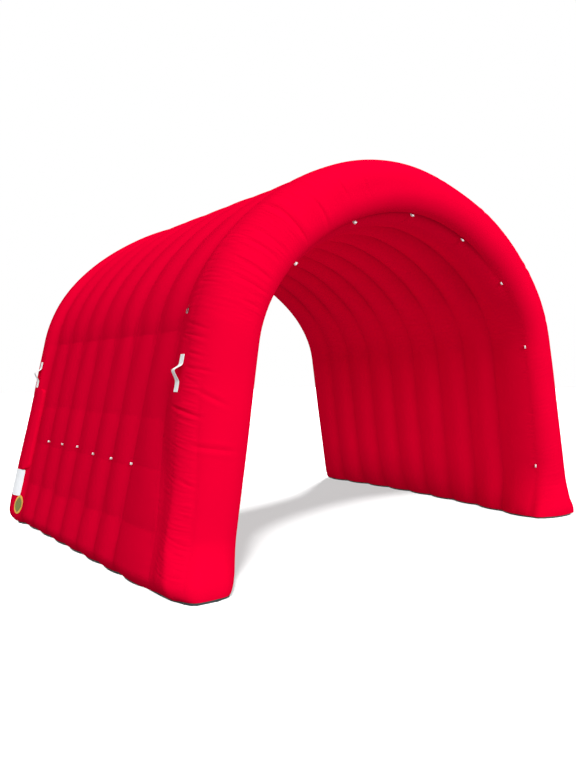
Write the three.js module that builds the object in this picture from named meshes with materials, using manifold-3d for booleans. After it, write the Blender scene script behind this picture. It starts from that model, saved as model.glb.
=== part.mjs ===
// Inflatable sports tunnel.
// Nine arch-shaped air chambers lie side by side and make one arched wall, open at both ends.
// Millimetres. X runs across the tunnel, Y along it from the front mouth to the rear, Z up.
// The origin is on the ground, in the middle of the footprint.
import * as THREE from "three";
import { mergeVertices } from "three/addons/utils/BufferGeometryUtils.js";
import ManifoldModule from "manifold-3d";

// Air between pieces that are sewn or laid together
const GAP = 0.3;

// Middle line of the wall, seen from the front: two straight legs and a round top
const ARCH = {
  footHalfWidth: 2315,
  shoulderHalfWidth: 1970,
  shoulderHeight: 1870,
  crownHeight: 3238,
  shoulderPull: 814,
  crownPull: 789,
  steps: 22,
};

// The wall's thickness, measured from the middle line
const WALL = {
  grooveDepth: 232,
  mouthSeamDepth: 204,
  outerCrown: 22,
  endCrown: 46,
  innerCrown: 42,
  footSpread: 0.29,
};

// The chambers along the tunnel, and the bulging panels that close the two mouths
const CHAMBER = { count: 9, pitch: 395.5, crownSteps: 5 };
const MOUTH = { frontBulge: 144, rearBulge: 111, bulgeDepth: -52, outerSteps: 6, innerSteps: 4 };

// The rounded lower edge of the legs and the dark strip they stand on
const FOOT = { baseHeight: 18, roundHeight: 150, outerTuck: 185, innerTuck: 45, frontTuck: 20, baseTuck: 8 };

// The front mouth's feet bulge forward with flat sides and squarer corners, but for the right one's outer
// corner; the rear mouth's are rounded off outside
const TOE = { reach: 77, height: 420, squareness: 0.55 };
const HEEL = { reach: 420, height: 270 };

// The right foot stands further in towards the front mouth and a little further out behind its middle
const SPLAY = { reach: 300, height: 420, startY: -600, length: 1370, bend: 1.3, fall: 1.2 };
const SPLAY_REAR = { share: 0.3, length: 2540 };
const LEG_HEIGHTS = [FOOT.baseHeight + GAP, 35, 60, 100, FOOT.roundHeight, 215, 300, TOE.height, 700, 1300];

// White webbing sewn to the wall
const HANDLE = { height: 1590, length: 284, width: 60, thickness: 3, stand: 48, free: 165, steps: 16 };
const SIDE_LOOP = { width: 22, eye: 6.5, webbing: 2.4, root: 2.4, neck: 12, straight: 3 };
const SEAM_LOOP = { lean: 0.6, width: 30, eye: 6.5, webbing: 2.4, root: 2.6, neck: 15, straight: 9 };
const LOOP_SEAT = { side: 1.4, seam: 1.5 };

// Loops on the front mouth's inner seam, by the run of the middle line from the crown
const SEAM_LOOPS = [-3230, -2540, -1700, -850, -30, 795, 1610, 2540, 3890];

// Loops on both outer sides: the groove and the height of each
const SIDE_LOOPS = [
  { groove: 2, height: 874 },
  { groove: 3, height: 879 },
  { groove: 4, height: 883 },
  { groove: 5, height: 915 },
  { groove: 6, height: 908 },
  { groove: 7, height: 906 },
];

// Steel ring on its tab
const RING = { height: 2075, radius: 19, wire: 2.5, slack: 0.8 };
const RING_TAB = { width: 14, length: 34, layer: 2.2, eye: 5.6 };

// Thin pieces sewn on the rear chamber's left side: the distance of each one's middle from the groove,
// its height and its size
const SHEET = 2;
const VENT_FLAP = { place: 108, height: 1015, width: 204, tall: 830, corner: 60 };
const LABEL_PATCH = { place: 180, height: 440, width: 220, tall: 262, corner: 8 };
const ROUND_PATCH = { place: 66, height: 215, width: 112, tall: 185 };
const CUTTER = { outerX: -3000, innerX: -2200 };

const COLOURS = {
  chamber: { color: 0xe8002f, roughness: 0.45, metalness: 0 },
  base: { color: 0x3c4a4a, roughness: 0.6, metalness: 0 },
  webbing: { color: 0xeeeeee, roughness: 0.8, metalness: 0 },
  tab: { color: 0xc20028, roughness: 0.8, metalness: 0 },
  ring: { color: 0x9a9a9a, roughness: 0.3, metalness: 1 },
  label: { color: 0xf2f4f6, roughness: 0.5, metalness: 0 },
  patch: { color: 0x77783a, roughness: 0.6, metalness: 0 },
};

const LEFT = -1;
const RIGHT = 1;
const STRAIGHT = { from: 0, depth: 0 };
const LENGTH = CHAMBER.count * CHAMBER.pitch + MOUTH.frontBulge + TOE.reach + MOUTH.rearBulge;
const FRONT_SEAM_Y = MOUTH.frontBulge + TOE.reach - LENGTH / 2;
const LEAN = Math.atan2(ARCH.footHalfWidth - ARCH.shoulderHalfWidth, ARCH.shoulderHeight);
const LEG_LENGTH = Math.hypot(ARCH.footHalfWidth - ARCH.shoulderHalfWidth, ARCH.shoulderHeight);
const TOP_HALF = archCurve(LEFT).getLength();
const HANDLE_CROWN = crownShare(0.5 - 0.5 / CHAMBER.crownSteps);
const RING_CROWN = (crownShare(1 / CHAMBER.crownSteps) + crownShare(2 / CHAMBER.crownSteps)) / 2;
const RING_PLACE = CHAMBER.pitch * 1.5 / CHAMBER.crownSteps;

const { Manifold, Mesh: SolidMesh } = await loadManifold();
const tunnel = new THREE.Group();
tunnel.name = "inflatable_sports_tunnel";

async function loadManifold() {
  const wasm = await ManifoldModule();
  wasm.setup();
  return wasm;
}

function seamY(index) {
  return FRONT_SEAM_Y + index * CHAMBER.pitch;
}

// Share of the crown's height at a place from 0 to 1 across a chamber
function crownShare(place) {
  return 1 - (2 * place - 1) ** 2;
}

// How far a rounded lower edge has come in at a height, as a share of the full tuck
function tuckShare(height, roundHeight) {
  const below = Math.max(0, 1 - height / roundHeight);
  return 1 - Math.sqrt(1 - below ** 2);
}

// Share of the right foot's step inwards at a place of the section
function splayShare(y, depth) {
  const near = THREE.MathUtils.clamp((SPLAY.startY - y) / SPLAY.length, 0, 1);
  const far = THREE.MathUtils.clamp((y - SPLAY.startY) / SPLAY_REAR.length, 0, 1);
  const inside = THREE.MathUtils.smoothstep(-depth, 0, WALL.grooveDepth);
  return (near ** SPLAY.bend - SPLAY_REAR.share * Math.sin(Math.PI * far)) * inside;
}

// Stations: a place on the middle line, its run from the crown, the way out of the wall
// and the wall's size there
function legStation(side, height) {
  const rise = height / ARCH.shoulderHeight;
  const tilt = LEAN * rise;
  const stretch = 1 / Math.cos(LEAN - tilt);
  const tuck = tuckShare(height, FOOT.roundHeight);
  const splay = SPLAY.reach * Math.max(0, 1 - height / SPLAY.height) ** SPLAY.fall;
  const low = 1 - THREE.MathUtils.smoothstep(height, FOOT.baseHeight, TOE.height);
  return {
    x: side * THREE.MathUtils.lerp(ARCH.footHalfWidth, ARCH.shoulderHalfWidth, rise),
    z: height,
    run: TOP_HALF + LEG_LENGTH * (1 - rise),
    out: new THREE.Vector2(side * Math.cos(tilt), Math.sin(tilt)).multiplyScalar(stretch),
    spread: 1 + WALL.footSpread * (1 - rise),
    outerTuck: FOOT.outerTuck * tuck,
    innerTuck: FOOT.innerTuck * tuck,
    frontTuck: FOOT.frontTuck * tuck,
    low,
    outerCorner: side === LEFT ? low : 0,
    heel: HEEL.reach * tuckShare(height, HEEL.height),
    splay: side === RIGHT ? splay : 0,
  };
}

function archCurve(side) {
  const shoulder = new THREE.Vector2(side * ARCH.shoulderHalfWidth, ARCH.shoulderHeight);
  const crown = new THREE.Vector2(0, ARCH.crownHeight);
  const leg = new THREE.Vector2(-side * Math.sin(LEAN), Math.cos(LEAN));
  return new THREE.CubicBezierCurve(
    shoulder,
    shoulder.clone().addScaledVector(leg, ARCH.shoulderPull),
    new THREE.Vector2(side * ARCH.crownPull, ARCH.crownHeight),
    crown,
  );
}

function archStation(side, share) {
  const curve = archCurve(side);
  const point = curve.getPointAt(share);
  const along = curve.getTangentAt(share);
  const out = new THREE.Vector2(side * along.y, -side * along.x);
  const run = TOP_HALF * (1 - share);
  const tucks = { outerTuck: 0, innerTuck: 0, frontTuck: 0 };
  const foot = { low: 0, outerCorner: 0, heel: 0, splay: 0 };
  return { x: point.x, z: point.y, run, out, spread: 1, ...tucks, ...foot };
}

// All stations from the left foot over the crown to the right foot
function wallStations() {
  const half = ARCH.steps / 2;
  const shares = Array.from({ length: half + 1 }, (_, i) => i / half);
  const left = LEG_HEIGHTS.map((height) => legStation(LEFT, height));
  const leftTop = shares.map((share) => archStation(LEFT, share));
  const rightTop = shares.slice(0, -1).toReversed().map((share) => archStation(RIGHT, share));
  const right = LEG_HEIGHTS.toReversed().map((height) => legStation(RIGHT, height));
  return [...left, ...leftTop, ...rightTop, ...right];
}

const STATIONS = wallStations();

// A point of a wall section: y along the tunnel, depth out of the middle line.
// At the front mouth's feet, flat is the way to the flat side, corner the way to a squarer corner and toe
// the share of the forward bulge. Heel is the share of the rear mouth's rounding.
function wallPoint(station, { y, depth, flat = 0, corner = STRAIGHT, toe = 0, heel = 0 }) {
  const share = Math.min(1, Math.abs(depth) / WALL.grooveDepth);
  const tuck = depth > 0 ? station.outerTuck : -station.innerTuck;
  const square = depth > 0 ? station.outerCorner : station.low;
  const full = depth + flat * station.low + corner.depth * square;
  const reach = full * station.spread - tuck * share - station.splay * splayShare(y, depth);
  const forward = toe * (TOE.reach * station.low - station.frontTuck) + corner.from * square;
  return new THREE.Vector3(
    station.x + station.out.x * reach,
    y - forward - heel * station.heel,
    station.z + station.out.y * reach,
  );
}

// Sections: closed loops of points, the inner face from front to rear and the outer face back
function middleSection(index) {
  const front = seamY(index) + GAP / 2;
  const rear = seamY(index + 1) - GAP / 2;
  const places = Array.from({ length: CHAMBER.crownSteps + 1 }, (_, i) => i / CHAMBER.crownSteps);
  const inner = places.map((place) => ({
    y: THREE.MathUtils.lerp(front, rear, place),
    depth: -WALL.grooveDepth - WALL.innerCrown * crownShare(place),
  }));
  const outer = places.map((place) => ({
    y: THREE.MathUtils.lerp(front, rear, place),
    depth: WALL.grooveDepth + WALL.outerCrown * crownShare(place),
  }));
  return [...inner, ...outer.toReversed()];
}

// What a sine or cosine gains when its arc is drawn squarer
function squarer(value) {
  return value ** TOE.squareness - value;
}

// The end chamber's section by its distance from the groove towards the mouth
function endProfile(bulge) {
  const { pitch, crownSteps } = CHAMBER;
  const tip = pitch + bulge;
  const turn = pitch * 3 / crownSteps;
  const flatDepth = WALL.grooveDepth - MOUTH.bulgeDepth;
  const roundDepth = flatDepth + WALL.endCrown * crownShare(3 / crownSteps);
  const innerDepth = WALL.mouthSeamDepth + MOUTH.bulgeDepth;
  const points = [];
  for (let i = 0; i <= crownSteps; i += 1) {
    const place = 1 - i / crownSteps;
    const seat = THREE.MathUtils.lerp(WALL.grooveDepth, WALL.mouthSeamDepth, place);
    points.push({ from: pitch * place, depth: -seat - WALL.innerCrown * crownShare(place) });
  }
  for (let i = 0; i < 3; i += 1) {
    const place = i / crownSteps;
    const crown = WALL.endCrown * crownShare(place);
    points.push({
      from: pitch * place,
      depth: WALL.grooveDepth + crown,
      flat: -crown,
    });
  }
  for (let i = 0; i < MOUTH.outerSteps; i += 1) {
    const angle = (Math.PI / 2) * (i / MOUTH.outerSteps);
    points.push({
      from: turn + (tip - turn) * Math.sin(angle),
      depth: MOUTH.bulgeDepth + roundDepth * Math.cos(angle),
      flat: (flatDepth - roundDepth) * Math.cos(angle),
      corner: {
        from: (tip - turn) * squarer(Math.sin(angle)),
        depth: flatDepth * squarer(Math.cos(angle)),
      },
    });
  }
  for (let i = 0; i < MOUTH.innerSteps; i += 1) {
    const angle = (Math.PI / 2) * (i / MOUTH.innerSteps);
    points.push({
      from: pitch + bulge * Math.cos(angle),
      depth: MOUTH.bulgeDepth - innerDepth * Math.sin(angle),
      corner: {
        from: bulge * squarer(Math.cos(angle)),
        depth: -innerDepth * squarer(Math.sin(angle)),
      },
    });
  }
  return points.map((point) => ({ ...point, share: point.from / tip }));
}

function frontSection() {
  const groove = seamY(1) - GAP / 2;
  const points = endProfile(MOUTH.frontBulge);
  return points.map(({ from, depth, share, flat, corner }) => ({
    y: groove - from,
    depth,
    flat,
    corner,
    toe: share ** 4 * THREE.MathUtils.smoothstep(depth, -WALL.mouthSeamDepth, MOUTH.bulgeDepth),
  }));
}

function rearSection() {
  const groove = seamY(CHAMBER.count - 1) + GAP / 2;
  const points = endProfile(MOUTH.rearBulge);
  return points.toReversed().map(({ from, depth, share }) => ({
    y: groove + from,
    depth,
    heel: share ** 2 * THREE.MathUtils.smoothstep(depth, 0, WALL.grooveDepth),
  }));
}

function chamberSection(index) {
  if (index === 0) {
    return frontSection();
  }
  return index === CHAMBER.count - 1 ? rearSection() : middleSection(index);
}

// A section with every edge moved out by the same amount
function grownSection(section, amount) {
  const flat = section.map(({ y, depth }) => new THREE.Vector2(y, depth));
  const turn = Math.sign(THREE.ShapeUtils.area(flat));
  const normal = (a, b) => new THREE.Vector2(b.y - a.y, a.x - b.x).normalize().multiplyScalar(turn);
  return section.map((point, i) => {
    const before = normal(flat.at(i - 1), flat[i]);
    const after = normal(flat[i], flat[(i + 1) % flat.length]);
    const mitre = before.clone().add(after).normalize();
    const reach = amount / mitre.dot(before);
    return { ...point, y: point.y + mitre.x * reach, depth: point.depth + mitre.y * reach };
  });
}

// A closed solid through rings of points, with a flat cap on the first and the last ring
function skinGeometry(rings) {
  const count = rings[0].length;
  const position = rings.flat().flatMap((point) => point.toArray());
  const index = [];
  for (let i = 0; i + 1 < rings.length; i += 1) {
    for (let j = 0; j < count; j += 1) {
      const a = i * count + j;
      const b = i * count + ((j + 1) % count);
      index.push(a, b, b + count, a, b + count, a + count);
    }
  }
  const last = (rings.length - 1) * count;
  capFaces(rings[0]).forEach(([a, b, c]) => index.push(a, c, b));
  capFaces(rings.at(-1)).forEach(([a, b, c]) => index.push(last + a, last + b, last + c));
  const geometry = new THREE.BufferGeometry();
  geometry.setAttribute("position", new THREE.Float32BufferAttribute(position, 3));
  geometry.setIndex(index);
  return geometry;
}

// Faces that fill a level ring, turning the way the ring's own points turn
function capFaces(ring) {
  const flat = ring.map((point) => new THREE.Vector2(point.x, point.y));
  const clockwise = THREE.ShapeUtils.isClockWise(flat);
  const faces = THREE.ShapeUtils.triangulateShape(clockwise ? flat.toReversed() : flat, []);
  const back = (i) => flat.length - 1 - i;
  return clockwise ? faces.map(([a, b, c]) => [back(c), back(b), back(a)]) : faces;
}

function chamberGeometry(section) {
  return skinGeometry(STATIONS.map((station) => section.map((point) => wallPoint(station, point))));
}

function addPiece(name, geometry, look, parent = tunnel) {
  geometry.computeVertexNormals();
  const piece = new THREE.Mesh(geometry, new THREE.MeshStandardMaterial(look));
  piece.name = name;
  parent.add(piece);
}

function addChambers() {
  for (let index = 0; index < CHAMBER.count; index += 1) {
    addPiece(`chamber_${index + 1}`, chamberGeometry(chamberSection(index)), COLOURS.chamber);
  }
}

// The whole footprint of a leg: all inner faces, the rear mouth, all outer faces, the front mouth
function footprint() {
  const sections = Array.from({ length: CHAMBER.count }, (_, index) => chamberSection(index));
  const middles = sections.slice(1, -1);
  const faceCount = CHAMBER.crownSteps + 1;
  const front = sections[0];
  const rear = sections.at(-1);
  return [
    ...front.slice(0, faceCount),
    ...middles.flatMap((section) => section.slice(1, faceCount)),
    ...rear.slice(-faceCount + 1),
    ...rear.slice(0, -faceCount),
    ...middles.toReversed().flatMap((section) => section.slice(faceCount + 1)),
    ...front.slice(faceCount + 1),
  ];
}

function addBase(name, side) {
  const top = legStation(side, FOOT.baseHeight);
  const { x, z, out, spread } = legStation(side, 0);
  const bottom = { ...top, x, z, out, spread };
  bottom.outerTuck += FOOT.baseTuck;
  bottom.innerTuck += FOOT.baseTuck;
  const points = side === LEFT ? footprint() : footprint().toReversed();
  const rings = [bottom, top].map((station) => points.map((point) => wallPoint(station, point)));
  addPiece(name, skinGeometry(rings), COLOURS.base);
}

// A frame on a line of the wall, where a measure taken along the line reaches a value:
// x across the line, y up along it, z out of the wall
function frameOnLine(side, line, measure, value) {
  const stations = side === LEFT ? STATIONS : STATIONS.toReversed();
  const points = stations.map((station) => wallPoint(station, line));
  const measures = stations.map((station, i) => measure(station, points[i]));
  const next = measures.findIndex((reached) => reached > value);
  const share = (value - measures[next - 1]) / (measures[next] - measures[next - 1]);
  const up = points[next].clone().sub(points[next - 1]).normalize();
  const out = new THREE.Vector3(side * up.z, 0, -side * up.x);
  const across = new THREE.Vector3().crossVectors(up, out);
  const frame = new THREE.Group();
  frame.position.lerpVectors(points[next - 1], points[next], share);
  frame.quaternion.setFromRotationMatrix(new THREE.Matrix4().makeBasis(across, up, out));
  tunnel.add(frame);
  return frame;
}

function frameAtHeight(side, line, height) {
  return frameOnLine(side, line, (station, point) => point.z, height);
}

function frameAtRun(side, line, run) {
  return frameOnLine(side, line, (station) => -station.run, -run);
}

// The line on an end chamber at a distance from its groove
function endLine(end, from, share) {
  const groove = end === "front" ? seamY(1) - GAP / 2 : seamY(CHAMBER.count - 1) + GAP / 2;
  const way = end === "front" ? -1 : 1;
  return { y: groove + way * from, depth: WALL.grooveDepth + WALL.endCrown * share };
}

// A strip of webbing: its middle line as points, thickened and given a width
function stripGeometry(points, thickness, width) {
  const sides = points.map((point, i) => {
    const before = points[Math.max(0, i - 1)];
    const after = points[Math.min(points.length - 1, i + 1)];
    const along = after.clone().sub(before).normalize();
    const normal = new THREE.Vector2(-along.y, along.x).multiplyScalar(thickness / 2);
    return { left: point.clone().add(normal), right: point.clone().sub(normal) };
  });
  const outline = [
    ...sides.map((side) => side.right),
    ...sides.map((side) => side.left).toReversed(),
  ];
  return extruded(new THREE.Shape(outline), width);
}

// A flat outline given a width, centred on its own plane and closed at its edges
function extruded(shape, width, curveSegments = 6) {
  const options = { depth: width, bevelEnabled: false, steps: 1, curveSegments };
  const geometry = new THREE.ExtrudeGeometry(shape, options);
  geometry.translate(0, 0, -width / 2);
  return welded(geometry);
}

function welded(geometry) {
  geometry.deleteAttribute("normal");
  geometry.deleteAttribute("uv");
  return mergeVertices(geometry, 1e-3);
}

// A grab handle: sewn flat at both ends, its middle standing off the wall
function addHandle(name, side, end) {
  const frame = frameAtHeight(side, endLine(end, CHAMBER.pitch / 2, HANDLE_CROWN), HANDLE.height);
  const points = [new THREE.Vector2(GAP + HANDLE.thickness / 2, -HANDLE.length / 2)];
  for (let i = 0; i <= HANDLE.steps; i += 1) {
    const place = i / HANDLE.steps - 0.5;
    const stand = HANDLE.stand * (0.5 + 0.5 * Math.cos(2 * Math.PI * place));
    points.push(new THREE.Vector2(GAP + HANDLE.thickness / 2 + stand, HANDLE.free * place));
  }
  points.push(new THREE.Vector2(GAP + HANDLE.thickness / 2, HANDLE.length / 2));
  const strip = stripGeometry(points, HANDLE.thickness, HANDLE.width).rotateY(-Math.PI / 2);
  addPiece(name, strip, COLOURS.webbing, frame);
}

// A tie loop: folded webbing with an eye, its root at the origin and its eye along +Y
function loopGeometry({ width, eye, webbing, root, neck, straight }) {
  const outer = eye + webbing;
  const shape = new THREE.Shape();
  shape.moveTo(-root, 0);
  shape.lineTo(root, 0);
  shape.lineTo(outer, neck);
  shape.absarc(0, neck + straight, outer, 0, Math.PI, false);
  shape.lineTo(-outer, neck);
  shape.closePath();
  const hole = new THREE.Path();
  hole.absarc(0, neck + straight, eye, 0, Math.PI, false);
  hole.absarc(0, neck, eye, Math.PI, 2 * Math.PI, false);
  hole.closePath();
  shape.holes.push(hole);
  return extruded(shape, width, 5).rotateX(Math.PI / 2);
}

function addSideLoops() {
  const rows = { left: LEFT, right: RIGHT };
  for (const [word, side] of Object.entries(rows)) {
    SIDE_LOOPS.forEach(({ groove, height }, i) => {
      const line = { y: seamY(groove), depth: WALL.grooveDepth };
      const frame = frameAtHeight(side, line, height);
      const loop = loopGeometry(SIDE_LOOP).translate(0, 0, LOOP_SEAT.side);
      addPiece(`side_loop_${word}_${i + 1}`, loop, COLOURS.webbing, frame);
    });
  }
}

function addSeamLoops() {
  const line = { y: FRONT_SEAM_Y - GAP / 2, depth: -WALL.mouthSeamDepth };
  SEAM_LOOPS.forEach((run, i) => {
    const side = Math.sign(run);
    const lean = new THREE.Group();
    lean.rotation.y = side * SEAM_LOOP.lean;
    frameAtRun(side, line, Math.abs(run)).add(lean);
    const loop = loopGeometry(SEAM_LOOP).rotateX(Math.PI).translate(0, 0, -LOOP_SEAT.seam);
    addPiece(`seam_loop_${i + 1}`, loop, COLOURS.webbing, lean);
  });
}

// A tab folded round a ring and sewn down above it, seen from its edge: X out of the wall, Y up
function tabGeometry(middle) {
  const { width, length, layer, eye } = RING_TAB;
  const shape = new THREE.Shape();
  shape.moveTo(GAP, length);
  shape.lineTo(GAP, 0);
  shape.absarc(middle, 0, eye + layer, Math.PI, Math.PI * 7 / 3, false);
  shape.lineTo(GAP + 2 * layer, length / 2);
  shape.lineTo(GAP + 2 * layer, length);
  shape.closePath();
  const hole = new THREE.Path();
  hole.absarc(middle, 0, eye, 0, 2 * Math.PI, false);
  shape.holes.push(hole);
  return extruded(shape, width).rotateY(-Math.PI / 2);
}

// A ring hanging in its tab on the sloping face beside the front groove
function addRing(word, side) {
  const frame = frameAtHeight(side, endLine("front", RING_PLACE, RING_CROWN), RING.height);
  const rise = WALL.endCrown * (crownShare(2 / CHAMBER.crownSteps) - crownShare(1 / CHAMBER.crownSteps));
  const slope = new THREE.Group();
  slope.rotation.y = side * Math.atan2(rise, CHAMBER.pitch / CHAMBER.crownSteps);
  frame.add(slope);
  const middle = GAP + RING_TAB.eye + RING_TAB.layer;
  addPiece(`ring_tab_${word}`, tabGeometry(middle), COLOURS.tab, slope);
  const sag = RING.radius - Math.sqrt(RING.radius ** 2 - (RING_TAB.width / 2) ** 2);
  const top = sag + RING.wire + RING.slack - RING_TAB.eye;
  const ring = welded(new THREE.TorusGeometry(RING.radius, RING.wire, 6, 20));
  addPiece(`ring_${word}`, ring.translate(0, top - RING.radius, middle), COLOURS.ring, slope);
}

// Solids for cutting thin sewn-on sheets to the curve of the wall
function solid(geometry) {
  return new Manifold(new SolidMesh({
    numProp: 3,
    vertProperties: new Float32Array(geometry.attributes.position.array),
    triVerts: new Uint32Array(geometry.index.array),
  }));
}

function geometryOf(manifold) {
  const { vertProperties, triVerts } = manifold.getMesh();
  const geometry = new THREE.BufferGeometry();
  geometry.setAttribute("position", new THREE.Float32BufferAttribute(vertProperties, 3));
  geometry.setIndex(Array.from(triVerts));
  return geometry;
}

function roundedOutline({ width, tall, corner }) {
  const x = width / 2;
  const y = tall / 2;
  const shape = new THREE.Shape();
  shape.absarc(x - corner, y - corner, corner, 0, Math.PI / 2, false);
  shape.absarc(-x + corner, y - corner, corner, Math.PI / 2, Math.PI, false);
  shape.absarc(-x + corner, -y + corner, corner, Math.PI, 1.5 * Math.PI, false);
  shape.absarc(x - corner, -y + corner, corner, 1.5 * Math.PI, 2 * Math.PI, false);
  shape.closePath();
  return shape;
}

function ovalOutline({ width, tall }) {
  const shape = new THREE.Shape();
  shape.absellipse(0, 0, width / 2, tall / 2, 0, 2 * Math.PI, false, 0);
  return shape;
}

// A sheet on the rear chamber's left side, its outline cut straight through the curved skin
function addSheet(name, outline, { place, height }, look, curveSegments) {
  const section = rearSection();
  const outside = solid(chamberGeometry(grownSection(section, GAP + SHEET)));
  const inside = solid(chamberGeometry(grownSection(section, GAP)));
  const cutter = extruded(outline, CUTTER.innerX - CUTTER.outerX, curveSegments);
  cutter.rotateX(Math.PI / 2).rotateZ(-Math.PI / 2);
  cutter.translate((CUTTER.innerX + CUTTER.outerX) / 2, seamY(CHAMBER.count - 1) + place, height);
  const sheet = solid(cutter).intersect(outside).subtract(inside);
  addPiece(name, geometryOf(sheet), look);
}

addChambers();
addBase("base_left", LEFT);
addBase("base_right", RIGHT);
addHandle("handle_front_left", LEFT, "front");
addHandle("handle_rear_left", LEFT, "rear");
addHandle("handle_front_right", RIGHT, "front");
addHandle("handle_rear_right", RIGHT, "rear");
addSideLoops();
addSeamLoops();
addRing("left", LEFT);
addRing("right", RIGHT);
addSheet("vent_flap", roundedOutline(VENT_FLAP), VENT_FLAP, COLOURS.chamber, 4);
addSheet("label_patch", roundedOutline(LABEL_PATCH), LABEL_PATCH, COLOURS.label, 2);
addSheet("round_patch", ovalOutline(ROUND_PATCH), ROUND_PATCH, COLOURS.patch, 24);

export default tunnel;
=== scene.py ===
# %% [markdown]
# # An inflatable sports tunnel
#
# Teams run onto the field through a tunnel like this one. Nine arch-shaped chambers of coated
# polyester are sewn side by side and kept full of air, so the wall stands up by itself.
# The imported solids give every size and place. This lesson adds what they lack: cloth that is
# pulled in along its seams, puckers, webbing, grain and light. All sizes are in metres.

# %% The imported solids
import math

import bpy
import numpy as np
from mathutils import Matrix, Vector


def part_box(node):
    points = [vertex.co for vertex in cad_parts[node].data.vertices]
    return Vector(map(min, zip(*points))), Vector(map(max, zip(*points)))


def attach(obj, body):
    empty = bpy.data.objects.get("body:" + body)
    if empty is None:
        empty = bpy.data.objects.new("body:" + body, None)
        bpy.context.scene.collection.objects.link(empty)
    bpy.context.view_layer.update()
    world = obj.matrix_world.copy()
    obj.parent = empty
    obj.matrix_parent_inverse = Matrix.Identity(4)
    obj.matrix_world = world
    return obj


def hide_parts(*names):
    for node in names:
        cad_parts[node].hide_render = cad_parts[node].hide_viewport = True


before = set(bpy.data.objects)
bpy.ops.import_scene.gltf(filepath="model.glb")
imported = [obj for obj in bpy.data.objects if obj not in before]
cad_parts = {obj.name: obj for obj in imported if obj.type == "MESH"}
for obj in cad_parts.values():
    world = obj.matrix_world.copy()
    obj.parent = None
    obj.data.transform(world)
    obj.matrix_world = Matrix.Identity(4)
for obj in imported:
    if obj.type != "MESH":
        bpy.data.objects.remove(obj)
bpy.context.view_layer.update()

# %% [markdown]
# ## Small helpers
#
# A node tree is a list of nodes and links, so one function is enough to write any of them: it
# makes a node, sets what is named, and links an input wherever it is given another node or one of
# its outputs; a whole node stands for its first output.
# Colours are easier to pick as the hex values of a paint program, and Blender wants linear light.

# %% Helpers for nodes and colours
def add(tree, kind, inputs=None, **settings):
    made = tree.nodes.new(kind)
    for key, value in settings.items():
        setattr(made, key, value)
    for key, value in (inputs or {}).items():
        if isinstance(value, bpy.types.Node):
            value = value.outputs[0]
        if isinstance(value, bpy.types.NodeSocket):
            tree.links.new(value, made.inputs[key])
        else:
            made.inputs[key].default_value = value
    return made


def linear(hex_colour):
    channels = [int(hex_colour[i:i + 2], 16) / 255 for i in (1, 3, 5)]
    bent = [c / 12.92 if c <= 0.04045 else ((c + 0.055) / 1.055) ** 2.4 for c in channels]
    return (*bent, 1.0)


def fade(value, start, end):
    """0 at start, 1 at end, smooth between; start may be the larger one."""
    share = np.clip((value - start) / (end - start), 0, 1)
    return share * share * (3 - 2 * share)


print("a mid grey in linear light:", round(linear("#808080")[0], 3))

# %% [markdown]
# ## The line of the wall
#
# Seen from the front, the wall follows two straight legs and a round top. The top is one Bezier
# curve on each side. The legs get thicker towards the ground, where a real tunnel is cut wider to
# stand firm, and their lowest edge is tucked in. The front feet bulge forward and are squarer, the
# rear ones are rounded off, and the right foot is turned in to the front. `rise` is the way up the
# wall, and `run` the way from the crown, less than zero on the left.

# %% Sizes of the wall
ARCH = {"foot": 2.315, "shoulder": 1.970, "height": 1.870, "crown": 3.238}
PULL = {"shoulder": 0.814, "crown": 0.789}
WALL = {"groove": 0.232, "mouth_seam": 0.204, "inner_crown": 0.042, "spread": 0.29}
OUTER_CROWN = {"middle": 0.022, "end": 0.046}
FOOT = {"base": 0.0183, "round": 0.150,
        "outer_tuck": 0.185, "inner_tuck": 0.045, "front_tuck": 0.020}
TOE = {"reach": 0.077, "height": 0.420, "squareness": 0.55}
HEEL = {"reach": 0.420, "height": 0.270}
SPLAY = {"reach": 0.300, "height": 0.620, "start": -0.600, "length": 1.370,
         "bend": 1.3, "fall": 1.9}
SPLAY_REAR = {"share": 0.3, "length": 2.540}
# On the legs the cloth is sewn so that the first groove runs forward, down to the ground.
FRONT_SLIP = {"reach": 0.21, "top": 1.40, "bottom": 0.20, "flat": 0.70, "across": 0.50}
LEFT, RIGHT = -1, 1
CHAMBERS = 9

lean = math.atan2(ARCH["foot"] - ARCH["shoulder"], ARCH["height"])
curve_steps = np.linspace(0, 1, 2001)


def top_curve(t):
    """Points and unit tangents of the right half of the top, as columns x and z."""
    shoulder = np.array([ARCH["shoulder"], ARCH["height"]])
    crown = np.array([0.0, ARCH["crown"]])
    handles = [
        shoulder + PULL["shoulder"] * np.array([-math.sin(lean), math.cos(lean)]),
        crown + np.array([PULL["crown"], 0.0]),
    ]
    t = np.asarray(t)[:, None]
    s = 1 - t
    point = s**3 * shoulder + 3 * t * s**2 * handles[0] + 3 * t**2 * s * handles[1] + t**3 * crown
    slope = (s**2 * (handles[0] - shoulder) + 2 * t * s * (handles[1] - handles[0])
             + t**2 * (crown - handles[1]))
    return point, slope / np.linalg.norm(slope, axis=1, keepdims=True)


curve_points = top_curve(curve_steps)[0]
curve_run = np.concatenate([[0], np.cumsum(np.linalg.norm(np.diff(curve_points, axis=0), axis=1))])
TOP_RISE = ARCH["height"] + curve_run[-1]
print("way up the wall to the crown:", round(TOP_RISE, 3))

# %% Stations on the line
def tuck_share(rise, round_height):
    """How far a rounded lower edge has come in, as a share of the full tuck."""
    below = np.clip(1 - rise / round_height, 0, 1)
    return 1 - np.sqrt(1 - below**2)


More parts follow.
